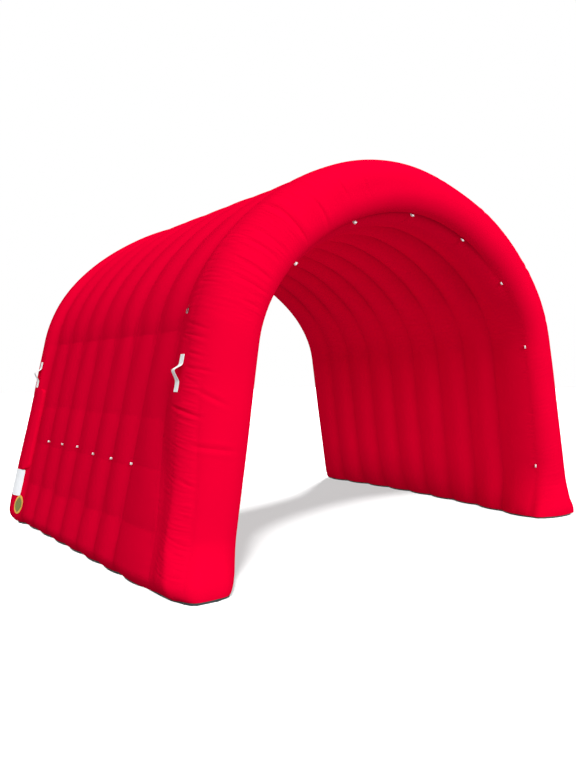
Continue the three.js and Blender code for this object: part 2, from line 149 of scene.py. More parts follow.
def stations(side, rise):
    """Places on the middle line, by the way up the wall: x, z, the way out, and what the foot does there."""
    rise = np.atleast_1d(np.asarray(rise, float))
    side = np.broadcast_to(side, rise.shape).astype(float)
    share = np.clip(rise / ARCH["height"], 0, 1)
    tilt = lean * share
    stretch = 1 / np.cos(lean - tilt)
    point, way = top_curve(np.interp(rise - ARCH["height"], curve_run, curve_steps))
    leg = rise <= ARCH["height"]
    leg_x = ARCH["foot"] + (ARCH["shoulder"] - ARCH["foot"]) * share
    tuck = tuck_share(rise, FOOT["round"])
    splay = SPLAY["reach"] * np.clip(1 - rise / SPLAY["height"], 0, 1) ** SPLAY["fall"]
    low = fade(rise, TOE["height"], FOOT["base"])
    slipped = fade(rise, FRONT_SLIP["top"], FRONT_SLIP["flat"])
    return {
        "rise": rise,
        "run": side * (TOP_RISE - rise),
        "side": side,
        "x": side * np.where(leg, leg_x, point[:, 0]),
        "z": np.where(leg, rise, point[:, 1]),
        "out_x": side * np.where(leg, np.cos(tilt) * stretch, way[:, 1]),
        "out_z": np.where(leg, np.sin(tilt) * stretch, -way[:, 0]),
        "spread": 1 + WALL["spread"] * (1 - share),
        "outer_tuck": FOOT["outer_tuck"] * tuck,
        "inner_tuck": FOOT["inner_tuck"] * tuck,
        "front_tuck": FOOT["front_tuck"] * tuck,
        "low": low,
        "outer_corner": np.where(side == LEFT, low, 0.0),
        "heel": HEEL["reach"] * tuck_share(rise, HEEL["height"]),
        "splay": np.where(side == RIGHT, splay, 0.0),
        "slip": FRONT_SLIP["reach"] * fade(rise, FRONT_SLIP["top"], FRONT_SLIP["bottom"]),
        "flat": np.where(side == LEFT, np.maximum(low, slipped), low),
    }


FOOT_ROWS, FOOT_CLOSER = 12, 1.4


def foot_to_foot(step):
    """Stations over the whole arch, closer together where the foot is rounded."""
    shares = np.linspace(0, 1, FOOT_ROWS, endpoint=False) ** FOOT_CLOSER
    foot_rows = FOOT["base"] + (FOOT["round"] - FOOT["base"]) * shares
    wall_rows = np.linspace(FOOT["round"], TOP_RISE, round((TOP_RISE - FOOT["round"]) / step))
    rise = np.concatenate([foot_rows, wall_rows])
    side = np.concatenate([np.full(len(rise), LEFT), np.full(len(rise) - 1, RIGHT)])
    return stations(side, np.concatenate([rise, rise[-2::-1]]))


# The front chamber shows fine wrinkles, so its rows are closer.
FRONT_ROW, ROW = 0.0048, 0.0095
front_line, plain_line = foot_to_foot(FRONT_ROW), foot_to_foot(ROW)
print("rows of points from foot to foot:", len(front_line["rise"]), "and", len(plain_line["rise"]))

# %% [markdown]
# ## The section of a chamber
#
# A chamber is held flat by its two sewn edges and swells between them, so its section is a shallow
# bow outside and another inside. The two end chambers also carry the tunnel's mouth, a wide bulging
# panel that runs round to a seam inside. Every column of points keeps its distance to the nearest
# seam (`edge`) and its way along the cloth (`across`), because puckers depend on both.

# %% Columns of a section
seams = [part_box(f"chamber_{i}")[0].y for i in range(2, CHAMBERS + 1)]
PITCH = (seams[-1] - seams[0]) / (CHAMBERS - 2)
OUTER, INNER, MOUTH_FACE = 0, 1, 2


def bow(place):
    return 1 - (2 * place - 1) ** 2


FOOT_KEYS = ("start", "flat", "corner_from", "corner_depth", "toe", "heel", "slip")


def columns(face, y, depth, across, edge, **foot):
    """The columns of a section, what its foot does and the way its cloth faces: along y and out."""
    rise_y, rise_depth = np.gradient(y), np.gradient(depth)
    size = np.hypot(rise_y, rise_depth)
    normal_y, normal_out = rise_depth / size, -rise_y / size
    sewn = edge < 1e-9
    normal_y[sewn], normal_out[sewn] = 0, np.sign(depth[sewn])
    made = {"face": face, "y": y, "depth": depth, "across": across, "edge": edge,
            "normal_y": normal_y, "normal_out": normal_out,
            **dict.fromkeys(FOOT_KEYS, 0.0), **foot}
    return {key: np.broadcast_to(value, y.shape).astype(float) for key, value in made.items()}


def joined(*parts):
    return {key: np.concatenate([part[key] for part in parts]) for key in parts[0]}


print("seams:", len(seams), "one chamber's width:", round(PITCH, 3))

# %% Middle chambers
HALF_GAP = 0.00015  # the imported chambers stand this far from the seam's middle on both sides
# How many columns each stretch of a section has
COLUMNS = {"middle": 25, "inner": 17, "side": 19, "outside": 40, "inside": 18}


def middle_section(chamber):
    place = np.linspace(0, 1, COLUMNS["middle"])
    y = seams[chamber - 2] + place * (PITCH - 2 * HALF_GAP)
    edge = PITCH * np.minimum(place, 1 - place)
    inner_depth = -WALL["groove"] - WALL["inner_crown"] * bow(place)
    inner = columns(INNER, y, inner_depth, place * PITCH, edge)
    back = slice(None, None, -1)
    outer_depth = WALL["groove"] + OUTER_CROWN["middle"] * bow(place)
    slip = fade(place[back], 1, 0) * (chamber == 2)
    outer = columns(OUTER, y[back], outer_depth[back], place[back] * PITCH, edge[back], slip=slip)
    return joined(inner, outer)


print("a middle chamber's columns:", len(middle_section(2)["y"]))

# %% End chambers
MOUTH = {"front": 0.144, "rear": 0.111, "depth": -0.052, "turn": 0.6}


def squarer(value):
    """What a sine or cosine gains when its arc is drawn squarer."""
    value = np.maximum(value, 0)
    return value ** TOE["squareness"] - value


def end_profile(bulge):
    """An end chamber by its distance from the groove: inner face, outer face, mouth panel."""
    turn, tip = MOUTH["turn"] * PITCH, PITCH + bulge
    flat_depth = WALL["groove"] - MOUTH["depth"]
    round_depth = flat_depth + OUTER_CROWN["end"] * bow(MOUTH["turn"])
    seam_depth = WALL["mouth_seam"] + MOUTH["depth"]
    place = np.linspace(1, 0, COLUMNS["inner"])
    inner_depth = -(WALL["groove"] + (WALL["mouth_seam"] - WALL["groove"]) * place
                    + WALL["inner_crown"] * bow(place))
    side = np.linspace(0, MOUTH["turn"], COLUMNS["side"], endpoint=False)
    outside = np.linspace(0, math.pi / 2, COLUMNS["outside"], endpoint=False)
    inside = np.linspace(0, math.pi / 2, COLUMNS["inside"])
    start = np.concatenate([
        side * PITCH,
        turn + (tip - turn) * np.sin(outside),
        PITCH + bulge * np.cos(inside),
    ])
    depth = np.concatenate([
        WALL["groove"] + OUTER_CROWN["end"] * bow(side),
        MOUTH["depth"] + round_depth * np.cos(outside),
        MOUTH["depth"] - seam_depth * np.sin(inside),
    ])
    # At the front feet the side is flat and the corners of the mouth are squarer.
    flat = np.concatenate([
        -OUTER_CROWN["end"] * bow(side),
        (flat_depth - round_depth) * np.cos(outside),
        0 * inside,
    ])
    corner_from = np.concatenate([
        0 * side,
        (tip - turn) * squarer(np.sin(outside)),
        bulge * squarer(np.cos(inside)),
    ])
    corner_depth = np.concatenate([
        0 * side,
        flat_depth * squarer(np.cos(outside)),
        -seam_depth * squarer(np.sin(inside)),
    ])
    across = np.concatenate([[0], np.cumsum(np.hypot(np.diff(start), np.diff(depth)))])
    mouth = {"start": start, "depth": depth, "across": across,
             "edge": np.minimum(across, across[-1] - across),
             "flat": flat, "corner_from": corner_from, "corner_depth": corner_depth}
    inner = {"start": place * PITCH, "depth": inner_depth, "across": place * PITCH,
             "edge": PITCH * np.minimum(place, 1 - place)}
    return inner, mouth, tip


def end_columns(chamber, face, part, tip):
    """One face of an end chamber, put in its place, with what its feet do: bulge or round off."""
    share = part["start"] / tip
    if chamber == 1:
        toe = share**4 * fade(part["depth"], -WALL["mouth_seam"], MOUTH["depth"])
        slip = fade(part["across"], FRONT_SLIP["across"], 0) * (face == MOUTH_FACE)
        return columns(face, seams[0] - 2 * HALF_GAP - part["start"], **part, toe=toe, slip=slip)
    heel = share**2 * fade(part["depth"], 0, WALL["groove"])
    turned = {key: part[key][::-1] for key in ("depth", "across", "edge", "start")}
    return columns(face, seams[-1] + turned["start"], **turned, heel=heel[::-1])


def end_section(chamber):
    inner, mouth, tip = end_profile(MOUTH["front" if chamber == 1 else "rear"])
    inner_face = end_columns(chamber, INNER, inner, tip)
    mouth_face = end_columns(chamber, MOUTH_FACE, mouth, tip)
    # The mouth seam belongs to both faces, so the mouth leaves its own copy out.
    kept = slice(None, -1) if chamber == 1 else slice(1, None)
    return joined(inner_face, {key: value[kept] for key, value in mouth_face.items()})


def section_of(chamber):
    return end_section(chamber) if chamber in (1, CHAMBERS) else middle_section(chamber)


print("the front chamber's columns:", len(section_of(1)["y"]))

# %% Points on the wall
def splay_share(y, depth):
    """Share of the right foot's step, on the inner side: inwards at the front, outwards behind."""
    near = np.clip((SPLAY["start"] - y) / SPLAY["length"], 0, 1)
    far = np.clip((y - SPLAY["start"]) / SPLAY_REAR["length"], 0, 1)
    step = near ** SPLAY["bend"] - SPLAY_REAR["share"] * np.sin(math.pi * far)
    return step * fade(-depth, 0, WALL["groove"])


def wall_points(line, section, lift):
    """Points of the cloth: the section at each station, lifted along the way that it faces."""
    at = {key: value[:, None] for key, value in line.items()}
    depth, y = section["depth"], section["y"]
    share = np.minimum(1, abs(depth) / WALL["groove"])
    tuck = np.where(depth > 0, at["outer_tuck"], -at["inner_tuck"]) * share
    square = np.where(depth > 0, at["outer_corner"], at["low"])
    full = depth + section["flat"] * at["flat"] + section["corner_depth"] * square
    reach = (full * at["spread"] - tuck + lift * section["normal_out"]
             - at["splay"] * splay_share(y, depth))
    forward = (section["toe"] * (TOE["reach"] * at["low"] - at["front_tuck"])
               + section["corner_from"] * square)
    y = (y - forward - section["heel"] * at["heel"] - section["slip"] * at["slip"]
         + lift * section["normal_y"])
    return np.stack([at["x"] + at["out_x"] * reach, y, at["z"] + at["out_z"] * reach], axis=-1)


plain_front = wall_points(front_line, section_of(1), 0)
print("the front chamber's plain form:", np.ptp(plain_front, axis=(0, 1)).round(3))

# %% [markdown]
# ## Uneven cloth
#
# Sewn cloth never lies smooth: each stitch gathers it a little, and the air pushes it out between.
# A noise texture could fake this with bump, but then the outline would stay clean and the exported
# mesh would be bare. So the same kind of noise is worked out with NumPy and lifts real points.
# Stretching the noise across a seam gives puckers, and the lines where it is zero give creases.

# %% Seeded noise
NOISE = {"angles": 4096, "step_u": 157, "step_v": 3571, "gain": 1.5}
PATCH_EDGE = 0.35


def noise(u, v, seed):
    """Smooth gradient noise from about -1 to 1, with one bump for each unit of u and v."""
    angles = np.random.default_rng(seed).uniform(0, 2 * math.pi, NOISE["angles"])
    u, v = np.broadcast_arrays(np.asarray(u, float), np.asarray(v, float))
    cell_u, cell_v = np.floor(u).astype(int), np.floor(v).astype(int)
    part_u, part_v = u - cell_u, v - cell_v

    def corner(step_u, step_v):
        pick = (cell_u + step_u) * NOISE["step_u"] + (cell_v + step_v) * NOISE["step_v"]
        turn = angles[pick % len(angles)]
        return np.cos(turn) * (part_u - step_u) + np.sin(turn) * (part_v - step_v)

    ease_u = part_u**3 * (part_u * (6 * part_u - 15) + 10)
    ease_v = part_v**3 * (part_v * (6 * part_v - 15) + 10)
    low = corner(0, 0) + ease_u * (corner(1, 0) - corner(0, 0))
    high = corner(0, 1) + ease_u * (corner(1, 1) - corner(0, 1))
    return NOISE["gain"] * (low + ease_v * (high - low))


def crease_lines(along, across, sizes, seed):
    """Thin valleys, 1 deep, on cloth that is flat between them."""
    here = noise(along / sizes["along"], across / sizes["across"], seed)
    return -np.exp(-((here / sizes["line"]) ** 2))


def patches(along, across, size, seed):
    """Slow patches between 0 and 1, for cloth that is creased here and taut there."""
    return fade(noise(along / size[0], across / size[1], seed), -PATCH_EDGE, PATCH_EDGE)


print("noise at one point, always the same:", round(float(noise(0.3, 0.7, 1)), 4))

# %% [markdown]
# ## Pillows, puckers and folds
#
# Four cross seams and creases divide the outside of each leg into pillows, and the lowest one
# flares out over the foot. Inside the arch the cloth has too much length, so it gathers into
# wrinkles that fan out. The front chamber shows most: its side panel is full of fine wrinkles,
# its front panel is taut, and the folds listed here were placed one by one as on the real tunnel.

# %% Sizes of the uneven cloth
# A pair called `patch` is a size along the arch and one across it. Every other pair is a window for
# `fade`, from where the share is 0 to where it is 1.
# Each cross line of the legs: its height on the wall, its depth and how far it reaches up and down
CROSS_LINES = ((0.44, 0.010, 0.09), (0.845, 0.006, 0.07), (1.22, 0.006, 0.07), (1.87, 0.018, 0.13))
CROSS_JITTER = (0.012, 0.004, 0.006, 0.002)
CROSS_SHARE = {"seam": 0.35, "full": 0.06, "end": (0.30, 0.02)}
FLARE = {"height": 0.007, "full": 0.20, "low": 0.16}
SEAM_PINCH = {"depth": 0.003, "reach": 0.012, "mouth_depth": 0.009, "mouth_reach": 0.011}
GROOVE_SOFT = 1.5
INNER_SHARE = {"leg": 0.80, "arch": 1.55}  # the inner ribs' height, as a share of the solids'
MOUTH_FILL = {"height": 0.014, "reach": 0.060}  # on the legs the mouth's inner seam is filled up
MOUTH_INSIDE = 0.5  # past this way across, the mouth's panel has turned to the inside
SWELL = {"height": 0.006, "along": 0.75, "across": 0.45, "free": 0.12}
PUCKER = {"depth": 0.0025, "along": 0.050, "across": 0.30, "line": 0.30, "reach": 0.060,
          "least": 0.15, "patch": (0.5, 0.6)}
ON_ARCH = (2.0, 1.6)
CREASED_MOUTH = {"right": (1.50, 0.90), "left": (2.0, 1.6)}
ARCH_WRINKLE = {"depth": 0.004, "along": 0.075, "across": 0.50, "line": 0.30,
                "rise": (1.7, 2.3), "free": 0.10, "patch": (0.6, 0.5)}
STRAPPED = {"height": 1.56, "tall": (0.26, 0.17), "wide": (0.11, 0.05)}
FOOT_STILL = 0.11
SEED = {"cross": 100, "side": 21, "coarse": 22, "side_patches": 23, "pucker": 200,
        "pucker_patches": 300, "arch": 400, "arch_patches": 500}

# Slow waves of the whole roof: the run of their middle and their reach, where they fade in along
# the tunnel, and their height
SWAYS = (
    (-0.65, 0.60, 1.60, -1.20, 0.022),
    (0.50, 0.55, 0.30, -0.60, -0.012),
    (-1.15, 0.60, 1.20, 1.60, -0.020),
)
SWAY_DEPTH = 0.15
print("cross lines of a leg:", len(CROSS_LINES), "slow waves of the roof:", len(SWAYS))

# %% The front chamber's wrinkles and folds
SIDE_WRINKLE = {"depth": 0.0026, "along": 0.032, "across": 0.34, "line": 0.30, "slope": 0.16,
                "least": 0.45, "patch": (0.30, 0.28)}
COARSE_WRINKLE = {"share": 0.5, "along": 0.0768, "across": 0.51, "line": 0.22}
OTHER_SIDE = 50  # moves the right side to another part of the same noise
PANEL_SEAM = {"top": 0.43, "bottom": 0.53, "depth": 0.006, "reach": 0.025,
              "turn": (0.2, 1.7), "shows": (1.75, 1.2)}
# Where the wrinkles are: windows across the cloth from the outer groove, or along the run
WRINKLED = {
    "leg": (2.10, 1.80), "side": (0.02, 0.10), "past_panel": 0.01, "short_of_panel": 0.03,
    "groove": (0.03, 0.14), "top": (0.95, 0.72), "top_run": (-0.45, -1.15),
    "right": (0.75, 0.50), "right_run": (0.5, 1.3), "right_share": 0.45,
    "turn": (0.62, 0.76), "turn_share": 0.5,
}
FOLD = {"depth": 0.55, "before": 0.05, "after": 0.09, "round": 1.3,
        "ridge": 0.45, "ridge_away": 2.2, "ridge_width": 1.3}
# Each fold of the front chamber: its run from the crown (left is negative) at both ends, its start
# and end across the cloth from the outer groove, its depth and its half width.
FRONT_FOLDS = (
    (-1.57, -1.57, 0.32, 0.80, 0.018, 0.022),
    (-1.29, -1.29, 0.58, 0.84, 0.012, 0.018),
    (-0.98, -0.98, 0.51, 0.69, 0.010, 0.016),
    (-0.73, -0.73, 0.55, 0.73, 0.010, 0.016),
    (-1.81, -1.81, 0.42, 0.71, 0.009, 0.014),
    (-1.91, -1.91, 0.42, 0.74, 0.009, 0.014),
    (-2.08, -2.08, 0.44, 0.78, 0.009, 0.015),
    (-2.20, -2.20, 0.48, 0.79, 0.008, 0.014),
    (-2.34, -2.34, 0.61, 0.80, 0.007, 0.014),
    (-2.53, -2.57, 0.17, 0.41, 0.007, 0.010),
    (-2.60, -2.64, 0.17, 0.41, 0.007, 0.010),
    (-2.73, -2.77, 0.18, 0.43, 0.007, 0.010),
    (-2.85, -2.87, 0.27, 0.50, 0.008, 0.011),
    (-3.01, -3.09, 0.42, 0.64, 0.008, 0.016),
    (-3.13, -3.19, 0.19, 0.47, 0.013, 0.012),
    (-3.39, -3.41, 0.40, 0.74, 0.008, 0.016),
    (-3.63, -3.67, 0.35, 0.48, 0.009, 0.013),
    (0.35, 0.35, 0.42, 0.66, 0.014, 0.022),
    (0.98, 0.98, 0.36, 0.62, 0.012, 0.020),
    (1.75, 1.75, 0.34, 0.58, 0.013, 0.022),
    (2.30, 2.34, 0.30, 0.56, 0.011, 0.018),
)


def fold(run, across, ends):
    """One straight crease with a low ridge on both sides."""
    run_start, run_end, start, end, depth, width = ends
    share = np.clip((across - start) / (end - start), 0, 1)
    away = np.abs(run - run_start - (run_end - run_start) * share)
    window = (fade(across, start - FOLD["before"], start + FOLD["after"])
              * fade(across, end + FOLD["before"], end - FOLD["after"]))
    valley = np.exp(-((away / width) ** FOLD["round"]))
    from_ridge = (away - FOLD["ridge_away"] * width) / (FOLD["ridge_width"] * width)
    return FOLD["depth"] * depth * window * (FOLD["ridge"] * np.exp(-(from_ridge**2)) - valley)


def front_cloth(line, section):
    """The front chamber's own unevenness: wrinkled side panel, panel seam, folds, taut front."""
    rise, run, across = line["rise"][:, None], line["run"][:, None], section["across"]
    panel_turn = fade(rise, *PANEL_SEAM["turn"])
    panel = PANEL_SEAM["bottom"] + (PANEL_SEAM["top"] - PANEL_SEAM["bottom"]) * panel_turn
    leg = fade(rise, *WRINKLED["leg"])
    to_panel = fade(across, panel + WRINKLED["past_panel"], panel - WRINKLED["short_of_panel"])
    on_side = fade(across, *WRINKLED["side"]) * to_panel
    groove_free = fade(across, *WRINKLED["groove"])
    on_top = groove_free * fade(across, *WRINKLED["top"]) * fade(run, *WRINKLED["top_run"])
    on_right = groove_free * fade(across, *WRINKLED["right"]) * fade(run, *WRINKLED["right_run"])
    on_turn = WRINKLED["turn_share"] * fade(across, *WRINKLED["turn"]) * (run > 0)
    on_arch = np.maximum(on_top, WRINKLED["right_share"] * on_right)
    amount = leg * np.maximum(on_side, on_turn) + (1 - leg) * on_arch
    along = abs(run) - SIDE_WRINKLE["slope"] * across * leg + OTHER_SIDE * (run > 0)
    fine = crease_lines(along, across, SIDE_WRINKLE, SEED["side"])
    coarse = crease_lines(along, across, COARSE_WRINKLE, SEED["coarse"])
    patchy = patches(run, across, SIDE_WRINKLE["patch"], SEED["side_patches"])
    patchy = SIDE_WRINKLE["least"] + (1 - SIDE_WRINKLE["least"]) * patchy
    wrinkles = fine + COARSE_WRINKLE["share"] * coarse
    result = SIDE_WRINKLE["depth"] * amount * patchy * wrinkles
    trough = np.exp(-np.abs(across - panel) / PANEL_SEAM["reach"])
    result = result - PANEL_SEAM["depth"] * trough * fade(rise, *PANEL_SEAM["shows"])
    for ends in FRONT_FOLDS:
        result = result + fold(run, across, ends)
    return result * (section["face"] == MOUTH_FACE)


print("folds of the front chamber:", len(FRONT_FOLDS))

# %% The relief of a chamber
def pillows(line, chamber):
    """Valleys at the cross lines of the legs and a low flare, a little different on every chamber."""
    rise = line["rise"]
    result = np.zeros_like(rise)
    for side in (LEFT, RIGHT):
        draws = np.random.default_rng(SEED["cross"] + 10 * chamber + side)
        shift = draws.normal(0, CROSS_JITTER)
        flare = fade(rise, CROSS_LINES[0][0] + shift[0], FLARE["full"])
        here = FLARE["height"] * flare * fade(rise, FOOT["base"], FLARE["low"])
        for (mark, depth, reach), moved in zip(CROSS_LINES, shift):
            here = here - depth * np.exp(-abs(rise - mark - moved) / reach)
        result = np.where(line["side"] == side, here, result)
    return result


def creased_mouth(run):
    """Where the mouth's inner seam is a crease: over the left and the top of the arch."""
    return np.where(run > 0, fade(run, *CREASED_MOUTH["right"]), fade(-run, *CREASED_MOUTH["left"]))


def beside_mouth_seam(chamber, section):
    """The columns that are nearer to the mouth's inner seam than to a groove."""
    panel = (section["face"] == MOUTH_FACE) & (section["across"] > MOUTH_INSIDE)
    inner = (section["face"] == INNER) & (section["across"] > PITCH / 2)
    return panel | inner & (chamber in (1, CHAMBERS))


def relief(chamber, line, section):
    """How far the cloth stands out of its plain form, in metres, for each row and column."""
    rise, run = line["rise"][:, None], line["run"][:, None]
    across, edge, face = section["across"], section["edge"], section["face"]
    mouth, inside, end_chamber = face == MOUTH_FACE, face == INNER, chamber in (1, CHAMBERS)
    # On the end chambers the cross lines run out soon after the groove.
    off_seam = CROSS_SHARE["seam"] + (1 - CROSS_SHARE["seam"]) * fade(edge, 0, CROSS_SHARE["full"])
    running_out = CROSS_SHARE["seam"] * fade(across, *CROSS_SHARE["end"])
    outside = np.where(mouth, running_out, (face == OUTER) * off_seam)
    result = pillows(line, chamber)[:, None] * outside
    # A sewn groove is a soft valley, where the plain form has a sharp one.
    place = np.where(mouth, np.minimum(section["start"] / PITCH, 0.5), across / PITCH)
    crowns = [OUTER_CROWN["end"], WALL["inner_crown"]]
    crown = np.select([mouth, inside], crowns, OUTER_CROWN["middle"])
    on_arch = fade(abs(run), *ON_ARCH)
    inner_share = INNER_SHARE["leg"] + (INNER_SHARE["arch"] - INNER_SHARE["leg"]) * on_arch
    share = np.where(inside, inner_share, 1.0)
    soft = share * bow(place) ** GROOVE_SOFT
    # On the legs the inner cloth of an end chamber runs smoothly into the mouth, without a valley.
    crease = creased_mouth(run)
    smooth_turn = (1 - crease) * (inside & (place > 0.5) & end_chamber)
    turn = share - (share - MOUTH_FILL["height"] / WALL["inner_crown"]) * (2 * place - 1) ** 2
    result = result + crown * (soft + smooth_turn * (turn - soft) - bow(place))
    # Each face swells and puckers in its own way.
    for kind in np.unique(face):
        seed = int(10 * chamber + kind)
        swell = noise(run / SWELL["along"], across / SWELL["across"], seed)
        gather = crease_lines(run, across, PUCKER, seed + SEED["pucker"])
        patchy = patches(run, across, PUCKER["patch"], seed + SEED["pucker_patches"])
        amount = np.exp(-edge / PUCKER["reach"]) * (PUCKER["least"] + (1 - PUCKER["least"]) * patchy)
        here = SWELL["height"] * swell * fade(edge, 0, SWELL["free"])
        result = result + (face == kind) * (here + PUCKER["depth"] * amount * gather)
    fan = crease_lines(run, across, ARCH_WRINKLE, SEED["arch"] + chamber)
    patchy = patches(run, across, ARCH_WRINKLE["patch"], SEED["arch_patches"] + chamber)
    under_roof = fade(rise, *ARCH_WRINKLE["rise"]) * inside * fade(edge, 0, ARCH_WRINKLE["free"])
    result = result + ARCH_WRINKLE["depth"] * under_roof * fan * patchy
    # Stitches pull the seams in, and on the legs the mouth's own seam is filled up.
    filled = MOUTH_FILL["height"] * np.exp(-edge / MOUTH_FILL["reach"]) * (1 - crease)
    filled = filled * (mouth & (across > MOUTH_INSIDE))
    at_mouth = SEAM_PINCH["mouth_depth"] * crease * np.exp(-edge / SEAM_PINCH["mouth_reach"])
    at_groove = SEAM_PINCH["depth"] * ~inside * np.exp(-edge / SEAM_PINCH["reach"])
    pinch = np.where(beside_mouth_seam(chamber, section), at_mouth, at_groove)
    result = result - pinch + filled
    for middle, reach, start, end, height in SWAYS:
        there = fade(section["y"], start, end) * fade(section["depth"], 0, SWAY_DEPTH)
        result = result + height * np.exp(-(((run - middle) / reach) ** 2)) * there
    if chamber == 1:
        result = result + front_cloth(line, section)
    # Under a handle the cloth lies flat, because the strap's ends are sewn down on it.
    beside = fade(abs(section["start"] - PITCH / 2), *STRAPPED["wide"]) * (face != INNER)
    level = fade(abs(line["z"][:, None] - STRAPPED["height"]), *STRAPPED["tall"])
    above = fade(rise, FOOT["base"], FOOT_STILL)
    at_foot = smooth_turn * crown * (turn - bow(place)) + filled
    return result * above * (1 - beside * level * end_chamber) + (1 - above) * at_foot


lift = 1000 * relief(1, front_line, section_of(1))
print("front chamber's cloth, mm out of its plain form:", lift.min().round(1), "to", lift.max().round(1))

# %% [markdown]
# ## Coated polyester
#
# The cloth is woven polyester with a thin coat of polyurethane that keeps the air in. The coat
# hides most of the weave and leaves a soft, broad shine with a faint grain. Along the seams the
# cloth is doubled, and there and in the grooves its colour is painted darker: painted shade where
# the folds of the cloth fall into shade, darkest in a thin line at the mouth's crease. This painted
# shade, which fades with the distance from the seam, is stored on the points as an attribute, and
# the weave follows the cloth's own UV map, which is in metres.

# %% Coated cloth material
def new_material(name):
    material = bpy.data.materials.new(name)
    material.use_nodes = True
    material.node_tree.nodes.clear()
    return material, material.node_tree


def finish_material(tree, shader):
    add(tree, "ShaderNodeOutputMaterial", {"Surface": shader.outputs["BSDF"]})


def mixed_colour(tree, share, low, high):
    """A colour between two hex values; a Mix node's colour sockets are 6, 7 and, going out, 2."""
    colours = {0: share, 6: linear(low), 7: linear(high)}
    return add(tree, "ShaderNodeMix", colours, data_type="RGBA").outputs[2]


THREAD_MM = 6.0  # real threads are 0.5 mm apart, drawn coarser so that a grain shows in the render
CLOUD_MM = 454.5  # the coat is a little paler and darker over stretches of this size
# The first is the share of random paler and darker tone, the second the share of painted shade along seams
# and grooves
CLOUD_SHARE, SEAM_PAINTED_SHADE = 0.30, 0.40


def coated_polyester(name, light, dark):
    """Red cloth: soft shine, faint square grain, and painted shade that darkens the seams and grooves."""
    material, tree = new_material(name)
    place = add(tree, "ShaderNodeUVMap", uv_map="cloth").outputs["UV"]
    # The seam attribute is painted shade: how much darker the colour is along seams and grooves.
    seam = add(tree, "ShaderNodeAttribute", attribute_name="seam").outputs["Fac"]
    cloudy = add(tree, "ShaderNodeTexNoise", {"Vector": place, "Scale": 1000 / CLOUD_MM, "Detail": 3.0})
    grain = add(tree, "ShaderNodeTexNoise", {"Vector": place, "Scale": 1000 / THREAD_MM, "Detail": 2.0})
    mixed = add(tree, "ShaderNodeMath", {0: cloudy.outputs["Fac"], 1: CLOUD_SHARE}, operation="MULTIPLY")
    shade = add(tree, "ShaderNodeMath", {0: seam, 1: SEAM_PAINTED_SHADE, 2: mixed}, operation="MULTIPLY_ADD")
    tone = mixed_colour(tree, shade, light, dark)
    bump = add(tree, "ShaderNodeBump", {"Height": grain.outputs["Fac"], "Strength": 0.12, "Distance": 0.002})
    rough = add(tree, "ShaderNodeMapRange", {"Value": cloudy.outputs["Fac"], "To Min": 0.50, "To Max": 0.62})
    shader = add(tree, "ShaderNodeBsdfPrincipled", {
        "Base Color": tone, "Roughness": rough, "Specular IOR Level": 0.0,
        "Normal": bump.outputs["Normal"],
    })
    finish_material(tree, shader)
    return material


red_cloth = coated_polyester("coated_polyester_red", "#d0002a", "#a80022")
print("material:", red_cloth.name)

# %% [markdown]
# ## The nine chambers
#
# Each chamber is one closed skin: rows of points from foot to foot, joined round the section. A
# subdivision surface over a coarse cage would round off the sewn grooves, so the points are laid
# as densely as the puckers need and written to the mesh in one go with `foreach_set`. The seams
# stay crisp because edges that bend sharply are marked sharp, and everything else is smooth.

# %% Skins from rows of points
def new_object(name, data):
    made = bpy.data.objects.new(name, data)
    bpy.context.collection.objects.link(made)
    return made


def skin(name, points, uv, seam, material, sharp=55.0):
    """A closed tube from rows of points, with flat ends, a UV map and the seam attribute of painted shade.
    """
    rows, count = points.shape[:2]
    inside = points - points.mean(axis=(0, 1))
    faces = np.cross(np.roll(inside, -1, axis=1)[:-1] - inside[:-1], inside[1:] - inside[:-1])
    if np.sum(inside[:-1] * faces) < 0:  # the ring runs the wrong way round, so the faces look inwards
        points, uv = points[:, ::-1], uv[:, ::-1]
    index = np.arange(rows * count).reshape(rows, count)
    beside = np.roll(index, -1, axis=1)
    quads = np.stack([index[:-1], beside[:-1], beside[1:], index[1:]], axis=-1).reshape(-1)
    loops = np.concatenate([quads, index[0][::-1], index[-1]])
    starts = np.concatenate([np.arange(len(quads) // 4) * 4, [len(quads), len(quads) + count]])
    mesh = bpy.data.meshes.new(name)
    mesh.vertices.add(rows * count)
    mesh.vertices.foreach_set("co", points.reshape(-1))
    mesh.loops.add(len(loops))
    mesh.loops.foreach_set("vertex_index", loops)
    mesh.polygons.add(len(starts))
    mesh.polygons.foreach_set("loop_start", starts)
    mesh.update(calc_edges=True)
    mesh.uv_layers.new(name="cloth").uv.foreach_set("vector", uv.reshape(-1, 2)[loops].reshape(-1))
    shade = np.broadcast_to(seam, (rows, count)).reshape(-1)
    mesh.attributes.new("seam", "FLOAT", "POINT").data.foreach_set("value", shade)
    mesh.validate()
    mesh.shade_smooth()
    mesh.set_sharp_from_angle(angle=math.radians(sharp))
    mesh.materials.append(material)
    return new_object(name, mesh)


# %% Chambers
# Painted shade: the colour is darker along the seams and grooves, where the folds fall into shade, and a
# dark line is painted at the mouth's crease.
SEAM_SHADE = {"reach": 0.030, "outer": 0.45, "inner_leg": 0.55, "inner_arch": 1.60,
              "mouth": 2.2, "mouth_reach": 0.011}
FIRST_GROOVE_SOFT = 0.6  # beside the bulging front chamber the first groove of the legs hardly shows


